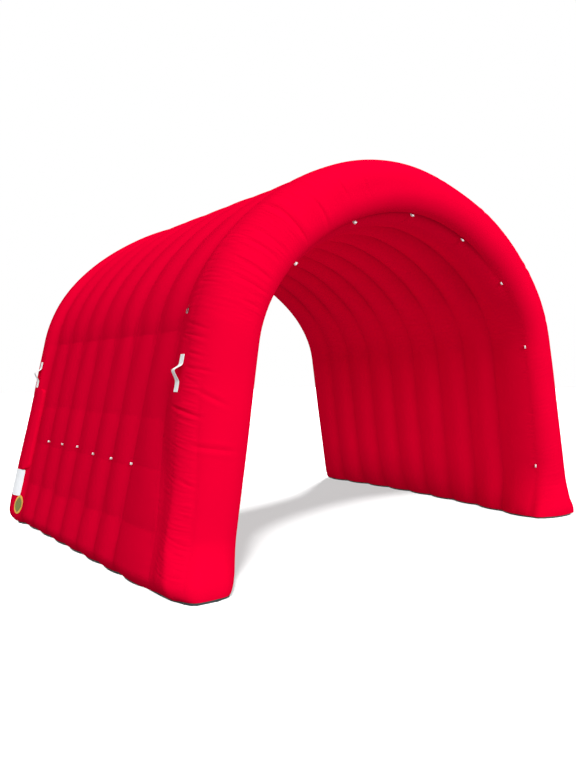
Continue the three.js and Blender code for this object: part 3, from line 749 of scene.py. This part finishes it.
def seam_shade(chamber, run, section):
    """How much painted shade darkens the seams: weak on the legs, strong inside the arch and at the mouth's
    crease.
    """
    inside, run = section["face"] == INNER, run[:, None]
    on_arch = fade(abs(run), *ON_ARCH)
    inner = SEAM_SHADE["inner_leg"] + (SEAM_SHADE["inner_arch"] - SEAM_SHADE["inner_leg"]) * on_arch
    first_groove = (chamber == 1) | (chamber == 2) & (section["across"] < PITCH / 2)
    outer = SEAM_SHADE["outer"] * (1 - FIRST_GROOVE_SOFT * first_groove * (1 - on_arch))
    plain = np.where(inside, inner, outer) * np.exp(-section["edge"] / SEAM_SHADE["reach"])
    line = SEAM_SHADE["mouth"] * np.exp(-section["edge"] / SEAM_SHADE["mouth_reach"])
    return np.where(beside_mouth_seam(chamber, section), line * creased_mouth(run), plain)


FACES_APART = 2  # metres between the faces of a chamber on its UV map
chamber_cloth = {}
for chamber in range(1, CHAMBERS + 1):
    section, line = section_of(chamber), front_line if chamber == 1 else plain_line
    wide = section["across"] + FACES_APART * section["face"]
    uv = np.stack(np.broadcast_arrays(wide, line["run"][:, None]), axis=-1)
    points = wall_points(line, section, relief(chamber, line, section))
    shade = seam_shade(chamber, line["run"], section)
    made = skin(f"chamber_{chamber}_cloth", points, uv, shade, red_cloth)
    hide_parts(f"chamber_{chamber}")
    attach(made, "root")
    chamber_cloth[chamber] = made
print("cloth points:", sum(len(made.data.vertices) for made in chamber_cloth.values()))

# %% [markdown]
# ## Woven webbing
#
# Handles and tie loops are cut from white polyester webbing: flat, matt and ribbed across. The ribs
# are a wave along the strap's own UV map, so they follow every bend. Mesh code bends the handles,
# because each has one free stretch that was pulled into a kink. The loops all follow one rule.

# %% Webbing material
WAVE_PERIOD = math.pi / 10  # how far apart a Wave texture's straight bands are at a scale of 1
WEBBING_RIB_MM = 8.88  # real ribs are 2 mm apart, drawn coarser so that they show in the render
STAIN_MM = 33.3


def woven_webbing(name, light, dark):
    """White straps: matt, ribbed across, a little grey between the ribs."""
    material, tree = new_material(name)
    place = add(tree, "ShaderNodeUVMap", uv_map="cloth").outputs["UV"]
    per_metre = 1000 * WAVE_PERIOD / WEBBING_RIB_MM
    ribs = add(tree, "ShaderNodeTexWave", {"Vector": place, "Scale": per_metre, "Distortion": 0.6},
               bands_direction="Y").outputs["Fac"]
    stains = add(tree, "ShaderNodeTexNoise", {"Vector": place, "Scale": 1000 / STAIN_MM, "Detail": 3.0})
    share = add(tree, "ShaderNodeMath", {0: ribs, 1: stains.outputs["Fac"]}, operation="MULTIPLY")
    bump = add(tree, "ShaderNodeBump", {"Height": ribs, "Strength": 0.35, "Distance": 0.001})
    shader = add(tree, "ShaderNodeBsdfPrincipled", {
        "Base Color": mixed_colour(tree, share, dark, light), "Roughness": 0.85, "IOR": 1.5,
        "Specular IOR Level": 0.25, "Normal": bump.outputs["Normal"],
    })
    finish_material(tree, shader)
    return material


white_webbing = woven_webbing("polyester_webbing_white", "#fcfcfb", "#dcdedf")
print("material:", white_webbing.name)

# %% Frames on the wall
def spot(y, depth):
    """A section of one place on the outside; the second column only gives it a direction."""
    return columns(OUTER, np.array([y, y - 1.0]), np.array([depth, depth]), np.zeros(2), np.ones(2))


NEAR = 0.002  # how far apart two places are that tell the wall's slope


def wall_frame(side, y, depth, rise):
    """A frame on the wall: x along the tunnel or against it, y up the wall, z out of it."""
    line = stations(side, rise + NEAR * np.array([-1.0, 0.0, 1.0]))
    low, here, high = (Vector(point) for point in wall_points(line, spot(y, depth), 0)[:, 0])
    up = (high - low).normalized()
    out = Vector((side * up.z, 0, -side * up.x))
    return Matrix.Translation(here) @ Matrix((up.cross(out), up, out)).transposed().to_4x4()


SEARCH = {"from": 0.2, "past_leg": 0.6, "steps": 800}


def rise_at(side, y, depth, height):
    """The way up the wall to a place at a height above the ground."""
    rises = np.linspace(SEARCH["from"], ARCH["height"] + SEARCH["past_leg"], SEARCH["steps"])
    points = wall_points(stations(side, rises), spot(y, depth), 0)
    return float(np.interp(height, points[:, 0, 2], rises))


CREST = WALL["groove"] + OUTER_CROWN["end"]
HANDLE_HEIGHT = 1.590
handle_y = {"front": seams[0] - PITCH / 2, "rear": seams[-1] + PITCH / 2}
sides = {"left": LEFT, "right": RIGHT}
frames = {
    f"handle_{end}_{word}": wall_frame(side, y, CREST, rise_at(side, y, CREST, HANDLE_HEIGHT))
    for end, y in handle_y.items() for word, side in sides.items()
}
print("handle frame:", tuple(round(v, 3) for v in frames["handle_front_left"].translation))

# %% Handles
STRAP = {"width": 0.060, "thickness": 0.003, "steps": 72, "clear": 0.0008,
         "free": 0.030, "narrower": 0.06}
STRAP_RIBS = {"height": 0.0004, "waves": 2.5, "edge": 0.94, "upper": 7, "under": 5}
HANDLE_TWISTS = (0.10, -0.06, 0.07, -0.09)
FINE_STEPS = 24
# The strap from its upper to its lower end: height on the wall, stand off the wall
STRAP_PATH = (
    (0.142, 0.000), (0.100, 0.000), (0.068, 0.001), (0.050, 0.012), (0.030, 0.036), (0.013, 0.052),
    (0.000, 0.050), (-0.020, 0.035), (-0.045, 0.014), (-0.065, 0.003), (-0.100, 0.000), (-0.142, 0.000),
)


def smooth_path(points, steps):
    """Even points on a Catmull-Rom curve through the given ones."""
    points = np.array([points[0], *points, points[-1]], float)
    fine = []
    for before, start, end, after in zip(points, points[1:], points[2:], points[3:]):
        square = 2 * before - 5 * start + 4 * end - after
        cube = 3 * start - before - 3 * end + after
        for t in np.linspace(0, 1, FINE_STEPS, endpoint=False):
            fine.append(0.5 * (2 * start + (end - before) * t + square * t**2 + cube * t**3))
    fine = np.array([*fine, points[-1]])
    run = np.concatenate([[0], np.cumsum(np.linalg.norm(np.diff(fine, axis=0), axis=1))])
    even = np.linspace(0, run[-1], steps)
    return np.stack([np.interp(even, run, column) for column in fine.T], axis=-1), even


def strap_ring(width, thickness):
    """A flat section with rounded edges: x across the strap, z out of the wall."""
    half, bevel, edge = width / 2, thickness / 2, STRAP_RIBS["edge"]
    upper = np.linspace(-edge, edge, STRAP_RIBS["upper"])
    under = np.linspace(edge, -edge, STRAP_RIBS["under"])
    ribs = STRAP_RIBS["height"] * np.cos(math.pi * upper * STRAP_RIBS["waves"])
    top = np.stack([upper * half, thickness + ribs], axis=-1)
    bottom = np.stack([under * half, 0 * under], axis=-1)
    return np.concatenate([[(-half, bevel)], top, [(half, bevel)], bottom])


def strap(name, frame_on_wall, twist):
    path, run = smooth_path(STRAP_PATH, STRAP["steps"])
    ring = strap_ring(STRAP["width"], STRAP["thickness"])
    along = np.gradient(path, axis=0)
    along /= np.linalg.norm(along, axis=1, keepdims=True)
    free = fade(path[:, 1], 0.0, STRAP["free"])
    local = np.zeros((len(path), len(ring), 3))
    tilt = twist * free[:, None] * ring[:, 0]
    local[..., 0] = ring[:, 0] * (1 - STRAP["narrower"] * free[:, None])
    local[..., 1] = path[:, :1] + along[:, 1:] * ring[:, 1]
    local[..., 2] = path[:, 1:] - along[:, :1] * ring[:, 1] + tilt + STRAP["clear"]
    turn = np.array(frame_on_wall.to_3x3())
    points = local @ turn.T + np.array(frame_on_wall.translation)
    uv = np.stack(np.broadcast_arrays(ring[:, 0], run[:, None]), axis=-1)
    return skin(name, points, uv, np.zeros(len(ring)), white_webbing, sharp=70.0)


for (name, frame_on_wall), twist in zip(frames.items(), HANDLE_TWISTS):
    made = strap(f"{name}_strap", frame_on_wall, twist)
    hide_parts(name)
    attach(made, "root")
    print(made.name, "points:", len(made.data.vertices))

# %% [markdown]
# ## Tie loops by Geometry Nodes
#
# Small loops of webbing are caught in the seams, for cords that tie the tunnel down. They repeat, so
# a node tree makes one from a few sizes: a circle is drawn out to a neck, swept with a flat section,
# and set on points that carry a rotation. Instances are lost in the export, so they are realized and
# the result becomes a plain mesh.

# %% Running a node tree
def new_tree(name, sizes):
    """An empty tree with geometry in and out, named sizes and a material."""
    tree = bpy.data.node_groups.new(name, "GeometryNodeTree")
    tree.interface.new_socket("Geometry", in_out="INPUT", socket_type="NodeSocketGeometry")
    for size in sizes:
        tree.interface.new_socket(size, in_out="INPUT", socket_type="NodeSocketFloat")
    tree.interface.new_socket("Material", in_out="INPUT", socket_type="NodeSocketMaterial")
    tree.interface.new_socket("Geometry", in_out="OUTPUT", socket_type="NodeSocketGeometry")
    return tree, add(tree, "NodeGroupInput").outputs


def finish_tree(tree, instances, material):
    whole_mesh = add(tree, "GeometryNodeRealizeInstances", {"Geometry": instances})
    smooth = add(tree, "GeometryNodeSetShadeSmooth", {"Geometry": whole_mesh})
    dressed = add(tree, "GeometryNodeSetMaterial", {"Geometry": smooth, "Material": material})
    add(tree, "NodeGroupOutput", {"Geometry": dressed})


def run_tree(name, mesh, tree, values):
    """The tree's result on a mesh, as a plain mesh object."""
    made = new_object(name, mesh)
    modifier = made.modifiers.new("nodes", "NODES")
    modifier.node_group = tree
    for socket in tree.interface.items_tree:
        if socket.in_out == "INPUT" and socket.name in values:
            modifier[socket.identifier] = values[socket.name]
    evaluated = made.evaluated_get(bpy.context.evaluated_depsgraph_get())
    result = bpy.data.meshes.new_from_object(evaluated)
    made.modifiers.clear()
    made.data = result
    result.name = name
    return made


def framed_points(name, places):
    """Loose points with a rotation each, from a list of frames."""
    mesh = bpy.data.meshes.new(name)
    mesh.from_pydata([place.translation for place in places], [], [])
    turns = [value for place in places for value in place.to_euler("XYZ")]
    mesh.attributes.new("turn", "FLOAT_VECTOR", "POINT").data.foreach_set("vector", turns)
    return mesh


# %% The loop tree
LOOP_SIZES = ("Eye radius", "Neck", "Root", "Webbing width", "Webbing thickness")
LOOP_POINTS = 26


def tie_loop_tree():
    tree, given = new_tree("tie_loop", LOOP_SIZES)
    circle = add(tree, "GeometryNodeCurvePrimitiveCircle",
                 {"Resolution": LOOP_POINTS, "Radius": given["Eye radius"]})
    place = add(tree, "ShaderNodeSeparateXYZ", {0: add(tree, "GeometryNodeInputPosition")})
    # Below its middle the circle is stretched to the neck's length and squeezed to the root's width.
    low = add(tree, "ShaderNodeMath", {0: place.outputs["Y"], 1: given["Eye radius"]}, operation="DIVIDE")
    low = add(tree, "ShaderNodeMath", {0: low, 1: 0.0}, operation="MINIMUM")
    neck = add(tree, "ShaderNodeMath", {0: low, 1: given["Neck"]}, operation="MULTIPLY")
    top = add(tree, "ShaderNodeMath", {0: place.outputs["Y"], 1: 0.0}, operation="MAXIMUM")
    height = add(tree, "ShaderNodeMath", {0: neck, 1: top}, operation="ADD")
    raised = add(tree, "ShaderNodeMath", {0: height, 1: given["Neck"]}, operation="ADD")
    squeeze = add(tree, "ShaderNodeMapRange", {"Value": low, "From Min": -1.0, "From Max": 0.0,
                                               "To Min": given["Root"], "To Max": 1.0})
    wide = add(tree, "ShaderNodeMath", {0: place.outputs["X"], 1: squeeze}, operation="MULTIPLY")
    spot_on_loop = add(tree, "ShaderNodeCombineXYZ", {"X": wide, "Y": raised})
    bent = add(tree, "GeometryNodeSetPosition",
               {"Geometry": circle.outputs["Curve"], "Position": spot_on_loop})
    flat = add(tree, "GeometryNodeCurvePrimitiveQuadrilateral",
               {"Width": given["Webbing thickness"], "Height": given["Webbing width"]})
    band = add(tree, "GeometryNodeCurveToMesh", {"Curve": bent, "Profile Curve": flat})
    stood = add(tree, "GeometryNodeTransform", {"Geometry": band, "Rotation": (math.pi / 2, 0, 0)})
    turn = add(tree, "GeometryNodeInputNamedAttribute", {"Name": "turn"}, data_type="FLOAT_VECTOR")
    loops = add(tree, "GeometryNodeInstanceOnPoints",
                {"Points": given["Geometry"], "Instance": stood, "Rotation": turn})
    finish_tree(tree, loops, given["Material"])
    return tree


tie_loop = tie_loop_tree()
print("loop tree nodes:", len(tie_loop.nodes))

# %% Loops in their places
SIDE_LOOP_HEIGHTS = (0.874, 0.879, 0.883, 0.915, 0.908, 0.906)
SEAM_LOOP_RUNS = (-3.230, -2.540, -1.700, -0.850, -0.030, 0.795, 1.610, 2.540, 3.890)
SEAM_LOOP_LEAN = 0.6
SIDE_LOOP_SUNK = 0.006
# The sizes of both kinds of loop, in the order of LOOP_SIZES
SIDE_LOOP = (0.0060, 0.015, 0.35, 0.019, 0.0022)
SEAM_LOOP = (0.0068, 0.022, 0.35, 0.030, 0.0022)
LEG_LENGTH = math.hypot(ARCH["foot"] - ARCH["shoulder"], ARCH["height"])


def rise_at_run(run):
    """The way up the wall at a distance from the crown, which on the legs is told by height."""
    down = abs(run) - (TOP_RISE - ARCH["height"])
    return TOP_RISE - abs(run) if down < 0 else ARCH["height"] * (1 - down / LEG_LENGTH)


side_nodes, side_places = [], []
for word, side in sides.items():
    for number, height in enumerate(SIDE_LOOP_HEIGHTS, 1):
        node = f"side_loop_{word}_{number}"
        groove_y = sum(corner.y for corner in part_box(node)) / 2
        rise = rise_at(side, groove_y, WALL["groove"], height)
        side_nodes.append(node)
        side_places.append(wall_frame(side, groove_y, WALL["groove"] - SIDE_LOOP_SUNK, rise))
seam_nodes, seam_places = [], []
for number, run in enumerate(SEAM_LOOP_RUNS, 1):
    node = f"seam_loop_{number}"
    side = LEFT if run < 0 else RIGHT
    place = wall_frame(side, seams[0] - PITCH, -WALL["mouth_seam"], rise_at_run(run))
    seam_nodes.append(node)
    turned = Matrix.Rotation(math.pi, 4, "Y") @ Matrix.Rotation(side * SEAM_LOOP_LEAN, 4, "Y")
    seam_places.append(place @ turned)
for name, nodes_here, places, values in (
    ("side_loops", side_nodes, side_places, SIDE_LOOP),
    ("seam_loops", seam_nodes, seam_places, SEAM_LOOP),
):
    made = run_tree(name, framed_points(name, places), tie_loop,
                    dict(zip(LOOP_SIZES, values), Material=white_webbing))
    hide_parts(*nodes_here)
    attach(made, "root")
    reach = np.array([vertex.co for vertex in made.data.vertices])
    print(name, "points:", len(reach), "box:", reach.min(axis=0).round(3), reach.max(axis=0).round(3))

# %% [markdown]
# ## Base strips, rings and their tabs
#
# These solids already have their real shape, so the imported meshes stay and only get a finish: dark
# grey vinyl that rubs on the ground, bright steel wire, and red webbing like the cloth around it.

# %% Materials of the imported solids
CLOUDS_TO_GRAIN = 60  # clouds per metre for a grain of 1 mm
ROUGH_SPAN = 0.08


def grained(name, light, dark, grain_mm, roughness, metallic=0.0, specular=0.5, bump=0.25):
    """A finish with an even grain: vinyl, steel wire or dyed webbing, by its numbers."""
    material, tree = new_material(name)
    place = add(tree, "ShaderNodeTexCoord").outputs["Object"]
    grain = add(tree, "ShaderNodeTexNoise", {"Vector": place, "Scale": 1000 / grain_mm, "Detail": 4.0})
    per_metre = CLOUDS_TO_GRAIN / grain_mm
    clouds = add(tree, "ShaderNodeTexNoise", {"Vector": place, "Scale": per_metre, "Detail": 2.0})
    grain, clouds = grain.outputs["Fac"], clouds.outputs["Fac"]
    share = add(tree, "ShaderNodeMath", {0: grain, 1: clouds}, operation="MULTIPLY")
    height = add(tree, "ShaderNodeBump", {"Height": grain, "Strength": bump, "Distance": grain_mm / 4000})
    rough = add(tree, "ShaderNodeMapRange", {
        "Value": clouds, "To Min": roughness - ROUGH_SPAN, "To Max": roughness + ROUGH_SPAN,
    })
    finish_material(tree, add(tree, "ShaderNodeBsdfPrincipled", {
        "Base Color": mixed_colour(tree, share, dark, light), "Roughness": rough,
        "Metallic": metallic, "Specular IOR Level": specular, "Normal": height.outputs["Normal"],
    }))
    return material


ground_vinyl = grained("ground_vinyl_grey", "#4c5656", "#262d2d", 6.0, 0.75, specular=0.15)
steel_wire = grained("bright_steel_wire", "#a9adb0", "#6b7074", 3.0, 0.28, metallic=1.0, bump=0.08)
red_webbing = grained("polyester_webbing_red", "#c40028", "#8c001c", 4.0, 0.8, specular=0.1)
finishes = {"base": ground_vinyl, "ring": steel_wire, "ring_tab": red_webbing}
for word in sides:
    for kind, material in finishes.items():
        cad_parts[f"{kind}_{word}"].material_slots[0].material = material
print("dressed solids:", len(finishes) * len(sides))

# %% [markdown]
# ## Flap and patches on the rear chamber
#
# Three thin pieces are sewn on the left of the rear chamber: a red flap over the air outlet, a bare
# white patch, and a small oval one with a gold border. A shrinkwrap could lay flat sheets on the
# cloth, but the cloth is a formula here, so each sheet is worked out on the same wall a few
# millimetres further out. That way it follows every pucker and never sinks in.

# %% Sheets on the cloth
SHEET_THICKNESS = 0.002
SHEET_LIFT = 0.0012
PAST_TIP = 24  # columns of the rear mouth's panel before those that face the outside
OVAL_END = 0.0004  # keeps the oval's first and last row from shrinking to a point


def rear_columns(start):
    """Columns of the rear chamber's outside at any distances from its groove."""
    fine = end_section(CHAMBERS)
    panel = fine["face"] == MOUTH_FACE
    outside = panel & (np.cumsum(panel) > PAST_TIP)
    order = np.argsort(fine["start"][outside])
    known = fine["start"][outside][order]
    return {key: np.interp(start, known, value[outside][order]) for key, value in fine.items()}


def rounded(corner):
    """Half width of a rounded rectangle, as a share of the half width, by a height from -1 to 1."""
    def half_width(height, width, tall):
        into = np.clip(abs(height) * tall / 2 - (tall / 2 - corner), 0, corner)
        return 1 - (corner - np.sqrt(corner**2 - into**2)) / (width / 2)
    return half_width


def oval(height, width, tall):
    return np.sqrt(np.maximum(1 - height**2, OVAL_END))


def sheet_grid(size, outline, steps, lift):
    """Points of a sheet's rows and columns on the left of the rear chamber."""
    place, height, width, tall = size
    up = np.linspace(-1, 1, steps[0])
    if outline is oval:  # rows are closer at the ends, where the outline turns
        up = np.sin(math.pi / 2 * up)
    across = np.linspace(-1, 1, steps[1])
    start = place + across * outline(up, width, tall)[:, None] * width / 2
    rise = rise_at(LEFT, seams[-1] + place, CREST, height) + up * tall / 2
    line, section = stations(LEFT, rise), rear_columns(start)
    points = wall_points(line, section, relief(CHAMBERS, line, section) + lift)
    return points, np.broadcast_arrays(across, up[:, None])


def sewn_sheet(name, size, outline, steps, material, off_cloth):
    """A closed thin sheet: an under side, an upper side and the rim between them."""
    under, (across, up) = sheet_grid(size, outline, steps, SHEET_LIFT + off_cloth)
    upper, _ = sheet_grid(size, outline, steps, SHEET_LIFT + SHEET_THICKNESS + off_cloth)
    rows, count = under.shape[:2]
    index = np.arange(rows * count).reshape(rows, count)
    quads = np.stack([index[:-1, :-1], index[:-1, 1:], index[1:, 1:], index[1:, :-1]], axis=-1)
    quads = quads.reshape(-1, 4)
    rim = np.concatenate([index[0, :-1], index[:-1, -1], index[-1, :0:-1], index[:0:-1, 0]])
    other = np.roll(rim, -1)
    walls = np.stack([rim, other, other + rows * count, rim + rows * count], axis=-1)
    mesh = bpy.data.meshes.new(name)
    points = np.concatenate([under.reshape(-1, 3), upper.reshape(-1, 3)])
    faces = np.concatenate([quads[:, ::-1], quads + rows * count, walls])
    mesh.from_pydata(points.tolist(), [], faces.tolist())
    corners = np.array([loop.vertex_index for loop in mesh.loops])
    flat = np.stack([across * size[2] / 2, up * size[3] / 2], axis=-1).reshape(-1, 2)
    mesh.uv_layers.new(name="cloth").uv.foreach_set("vector", np.tile(flat, (2, 1))[corners].reshape(-1))
    # A sheet's seam attribute of painted shade stays at zero, so no shade is painted on it.
    mesh.attributes.new("seam", "FLOAT", "POINT")  # the red cloth reads it, and a sheet has no seam
    outer_faces = mesh.polygons[len(quads):2 * len(quads)]
    if sum(face.normal.x * face.area for face in outer_faces) > 0:  # the left side looks to -x
        mesh.flip_normals()
    mesh.shade_smooth()
    mesh.set_sharp_from_angle(angle=math.radians(50))
    mesh.materials.append(material)
    return new_object(name, mesh)


# Each sheet: the distance of its middle from the groove, its height, its width and how tall it is
FLAP = (0.108, 1.015, 0.204, 0.830)
LABEL = (0.180, 0.440, 0.220, 0.262)
OVAL = (0.066, 0.215, 0.112, 0.185)
CORNER = {"flap": 0.060, "label": 0.008}
print("sheets, width and height:", FLAP[2:], LABEL[2:], OVAL[2:])

# %% Patch materials
BORDER = 0.80  # where the oval's border starts, as a share of its half size
BORDER_BLUR = 0.03
TWILL_MM = 7.4  # real twill lines are 1 mm apart, drawn coarser so that they show in the render


def bordered_twill(name, middle, border, size):
    """An oval of twill with a thick border of satin stitches, told apart by its UV map in metres."""
    material, tree = new_material(name)
    place = add(tree, "ShaderNodeUVMap", uv_map="cloth").outputs["UV"]
    scale = (2 / size[2], 2 / size[3], 0)
    scaled = add(tree, "ShaderNodeVectorMath", {0: place, 1: scale}, operation="MULTIPLY")
    radius = add(tree, "ShaderNodeVectorMath", {0: scaled}, operation="LENGTH").outputs["Value"]
    on_border = add(tree, "ShaderNodeMapRange", {
        "Value": radius, "From Min": BORDER - BORDER_BLUR, "From Max": BORDER + BORDER_BLUR,
    })
    per_metre = 1000 * math.sqrt(2) * WAVE_PERIOD / TWILL_MM  # diagonal bands are wider by sqrt(2)
    twill = add(tree, "ShaderNodeTexWave", {"Vector": place, "Scale": per_metre, "Distortion": 0.4},
                bands_direction="DIAGONAL").outputs["Fac"]
    bump = add(tree, "ShaderNodeBump", {"Height": twill, "Strength": 0.4, "Distance": 0.001})
    tones = {6: mixed_colour(tree, twill, *middle), 7: mixed_colour(tree, twill, *border)}
    tone = add(tree, "ShaderNodeMix", {0: on_border, **tones}, data_type="RGBA")
    finish_material(tree, add(tree, "ShaderNodeBsdfPrincipled", {
        "Base Color": tone.outputs[2], "Roughness": 0.7, "Specular IOR Level": 0.3,
        "Normal": bump.outputs["Normal"],
    }))
    return material


bare_vinyl = grained("bare_vinyl_white", "#f6f7f8", "#dfe3e8", 12.0, 0.45, specular=0.4, bump=0.1)
oval_twill = bordered_twill("twill_patch_olive",
                            ("#5d6030", "#7d7f42"), ("#b98a2c", "#e2b95a"), OVAL)
print("materials:", bare_vinyl.name, oval_twill.name)

# %% The sewn sheets
FLAP_RISE = 0.018  # how far the flap stands off the cloth behind its turned-down front edge
FLAP_WINDOWS = (0.0, 0.16), (1.0, 0.35)
FLAP_STEPS, LABEL_STEPS, OVAL_STEPS = (90, 26), (30, 26), (30, 18)
flap_columns = np.linspace(0, 1, FLAP_STEPS[1])
flap_lift = FLAP_RISE * fade(flap_columns, *FLAP_WINDOWS[0]) * fade(flap_columns, *FLAP_WINDOWS[1])
oval_area = math.pi / 4 * OVAL[2] * OVAL[3]
for name, node, size, outline, steps, material, slot, off_cloth, area in (
    ("vent_flap_cloth", "vent_flap", FLAP, rounded(CORNER["flap"]), FLAP_STEPS,
     red_cloth, "coated_cloth", flap_lift, None),
    ("bare_label_sheet", "label_patch", LABEL, rounded(CORNER["label"]), LABEL_STEPS,
     bare_vinyl, "bare_label", 0.0, None),
    ("oval_patch_sheet", "round_patch", OVAL, oval, OVAL_STEPS,
     oval_twill, "patch_cloth", 0.0, oval_area),
):
    made = sewn_sheet(name, size, outline, steps, material, off_cloth)
    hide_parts(node)
    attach(made, "root")
    print(name, "points:", len(made.data.vertices))

# %% [markdown]
# ## Camera, floor and light
#
# The tunnel stands on a pale floor in a bright studio, and the camera is at the eye height of a
# standing person, to the front left. A broad lamp in front lights the mouth, weaker ones fill the
# roof, the side and the inside. Pale floors burn out to white in such pictures, so this one glows a
# little and has lamps of its own, which leave the soft shadow between the legs. Light linking keeps
# them off the cloth.

# %% Camera
CAMERA = {"place": (-4.737, -5.9535, 1.57), "yaw": 37.729, "pitch": 0.76, "roll": -0.417}
FOCAL_PIXELS, IMAGE_HEIGHT, SENSOR_MM = 679.5, 768, 36.0

yaw, pitch, roll = (math.radians(CAMERA[key]) for key in ("yaw", "pitch", "roll"))
forward = Vector((math.sin(yaw) * math.cos(pitch), math.cos(yaw) * math.cos(pitch),
                  -math.sin(pitch)))
level = Vector((math.cos(yaw), -math.sin(yaw), 0))
upward = level.cross(forward)
right = math.cos(roll) * level + math.sin(roll) * upward
above = -math.sin(roll) * level + math.cos(roll) * upward
lens = bpy.data.cameras.new("camera")
lens.sensor_width = SENSOR_MM
lens.lens = FOCAL_PIXELS * SENSOR_MM / IMAGE_HEIGHT
camera = new_object("camera", lens)
turned = Matrix((right, above, -forward)).transposed().to_4x4()
camera.matrix_world = Matrix.Translation(CAMERA["place"]) @ turned
bpy.context.scene.camera = camera
print("lens:", round(lens.lens, 2), "mm")

# %% Floor
FLOOR_HALF, FLOOR_BELOW = 60.0, 0.0005
FLOOR_GLOW, FLOOR_SPOT_MM = 0.55, 333.3

floor_paint, tree = new_material("floor_paint")
place = add(tree, "ShaderNodeTexCoord").outputs["Object"]
spots = add(tree, "ShaderNodeTexNoise", {"Vector": place, "Scale": 1000 / FLOOR_SPOT_MM}).outputs["Fac"]
finish_material(tree, add(tree, "ShaderNodeBsdfPrincipled", {
    "Base Color": mixed_colour(tree, spots, "#4a4a4a", "#4e4e4e"), "Roughness": 0.9,
    "Specular IOR Level": 0.0, "Emission Color": (1, 1, 1, 1), "Emission Strength": FLOOR_GLOW,
}))
corners = ((-1, -1), (1, -1), (1, 1), (-1, 1))
floor_mesh = bpy.data.meshes.new("floor")
floor_mesh.from_pydata([(x * FLOOR_HALF, y * FLOOR_HALF, -FLOOR_BELOW) for x, y in corners],
                       [], [(0, 1, 2, 3)])
floor_mesh.materials.append(floor_paint)
floor = new_object("floor", floor_mesh)
floor.visible_diffuse = False  # the white floor would light the tunnel from below
print("floor:", 2 * FLOOR_HALF, "m wide")

# %% Sky
SKY = {"below": 0.38, "above": 0.63}

world = bpy.data.worlds.new("sky")
bpy.context.scene.world = world
world.use_nodes = True
tree = world.node_tree
tree.nodes.clear()
way = add(tree, "ShaderNodeTexCoord").outputs["Generated"]
height = add(tree, "ShaderNodeSeparateXYZ", {0: way}).outputs["Z"]
fill = add(tree, "ShaderNodeMapRange", {
    "Value": height, "From Min": -1.0, "To Min": SKY["below"], "To Max": SKY["above"],
})
seen = add(tree, "ShaderNodeLightPath").outputs["Is Camera Ray"]
sky = add(tree, "ShaderNodeMix", {0: seen, 6: fill, 7: (1, 1, 1, 1)}, data_type="RGBA")
backdrop = add(tree, "ShaderNodeBackground", {"Color": sky.outputs[2]})
add(tree, "ShaderNodeOutputWorld", {"Surface": backdrop.outputs["Background"]})
bpy.context.scene.view_settings.view_transform = "Standard"
print("sky nodes:", len(tree.nodes))

# %% Lamps
# Each far lamp: its strength, and in degrees its turn to the left of the front mouth, its height and
# its softness
FAR_LAMPS = {
    "key": (1.06, 2, 26, 30),
    "floor_front": (8.4, 34, 51, 6),
    "floor_rear": (8.8, 226, 56, 6),
    "floor_left": (22, 90, 18, 6),
    "overhead": (0.36, 0, 90, 80),
    "side_fill": (0.15, 85, 50, 60),
}
# What each of them does to the floor; the one that isn't named lights everything.
FLOOR_LIGHT = {"key": "EXCLUDE", "side_fill": "EXCLUDE", "floor_front": "INCLUDE",
               "floor_rear": "INCLUDE", "floor_left": "INCLUDE"}
GLOW = {"size": 3.0, "size_y": 3.4, "energy": 30.0, "height": 0.02}
INSIDE_FILL = {"energy": 25.0, "radius": 0.5, "place": (-0.8, -1.2, 1.0)}


def sun(name, strength, turn_left, height, softness):
    light = bpy.data.lights.new(name, "SUN")
    light.energy, light.angle = math.pi * strength, math.radians(softness)
    turn, tilt = math.radians(turn_left), math.radians(height)
    way = Vector((-math.sin(turn) * math.cos(tilt), -math.cos(turn) * math.cos(tilt), math.sin(tilt)))
    made = new_object(name, light)
    made.matrix_world = way.to_track_quat("Z", "Y").to_matrix().to_4x4()
    return made


lamps = {name: sun(name, *values) for name, values in FAR_LAMPS.items()}
for name, state in FLOOR_LIGHT.items():
    lit = bpy.data.collections.new(f"{name}_{state.lower()}")
    lit.objects.link(floor)
    lit.collection_objects[0].light_linking.link_state = state
    lamps[name].light_linking.receiver_collection = lit

glow = bpy.data.lights.new("floor_glow", "AREA")
glow.shape, glow.energy = "RECTANGLE", GLOW["energy"]
glow.size, glow.size_y = GLOW["size"], GLOW["size_y"]
glow_lamp = new_object("floor_glow", glow)
upward_turn = Matrix.Rotation(math.pi, 4, "X")
glow_lamp.matrix_world = Matrix.Translation((0, 0, GLOW["height"])) @ upward_turn
glow_lamp.visible_camera = False

fill_light = bpy.data.lights.new("inside_fill", "POINT")
fill_light.energy, fill_light.shadow_soft_size = INSIDE_FILL["energy"], INSIDE_FILL["radius"]
fill_lamp = new_object("inside_fill", fill_light)
fill_lamp.location = INSIDE_FILL["place"]
fill_lamp.visible_camera = False
fill_lamp.light_linking.receiver_collection = lamps["key"].light_linking.receiver_collection
print("lamps:", len(bpy.data.lights))
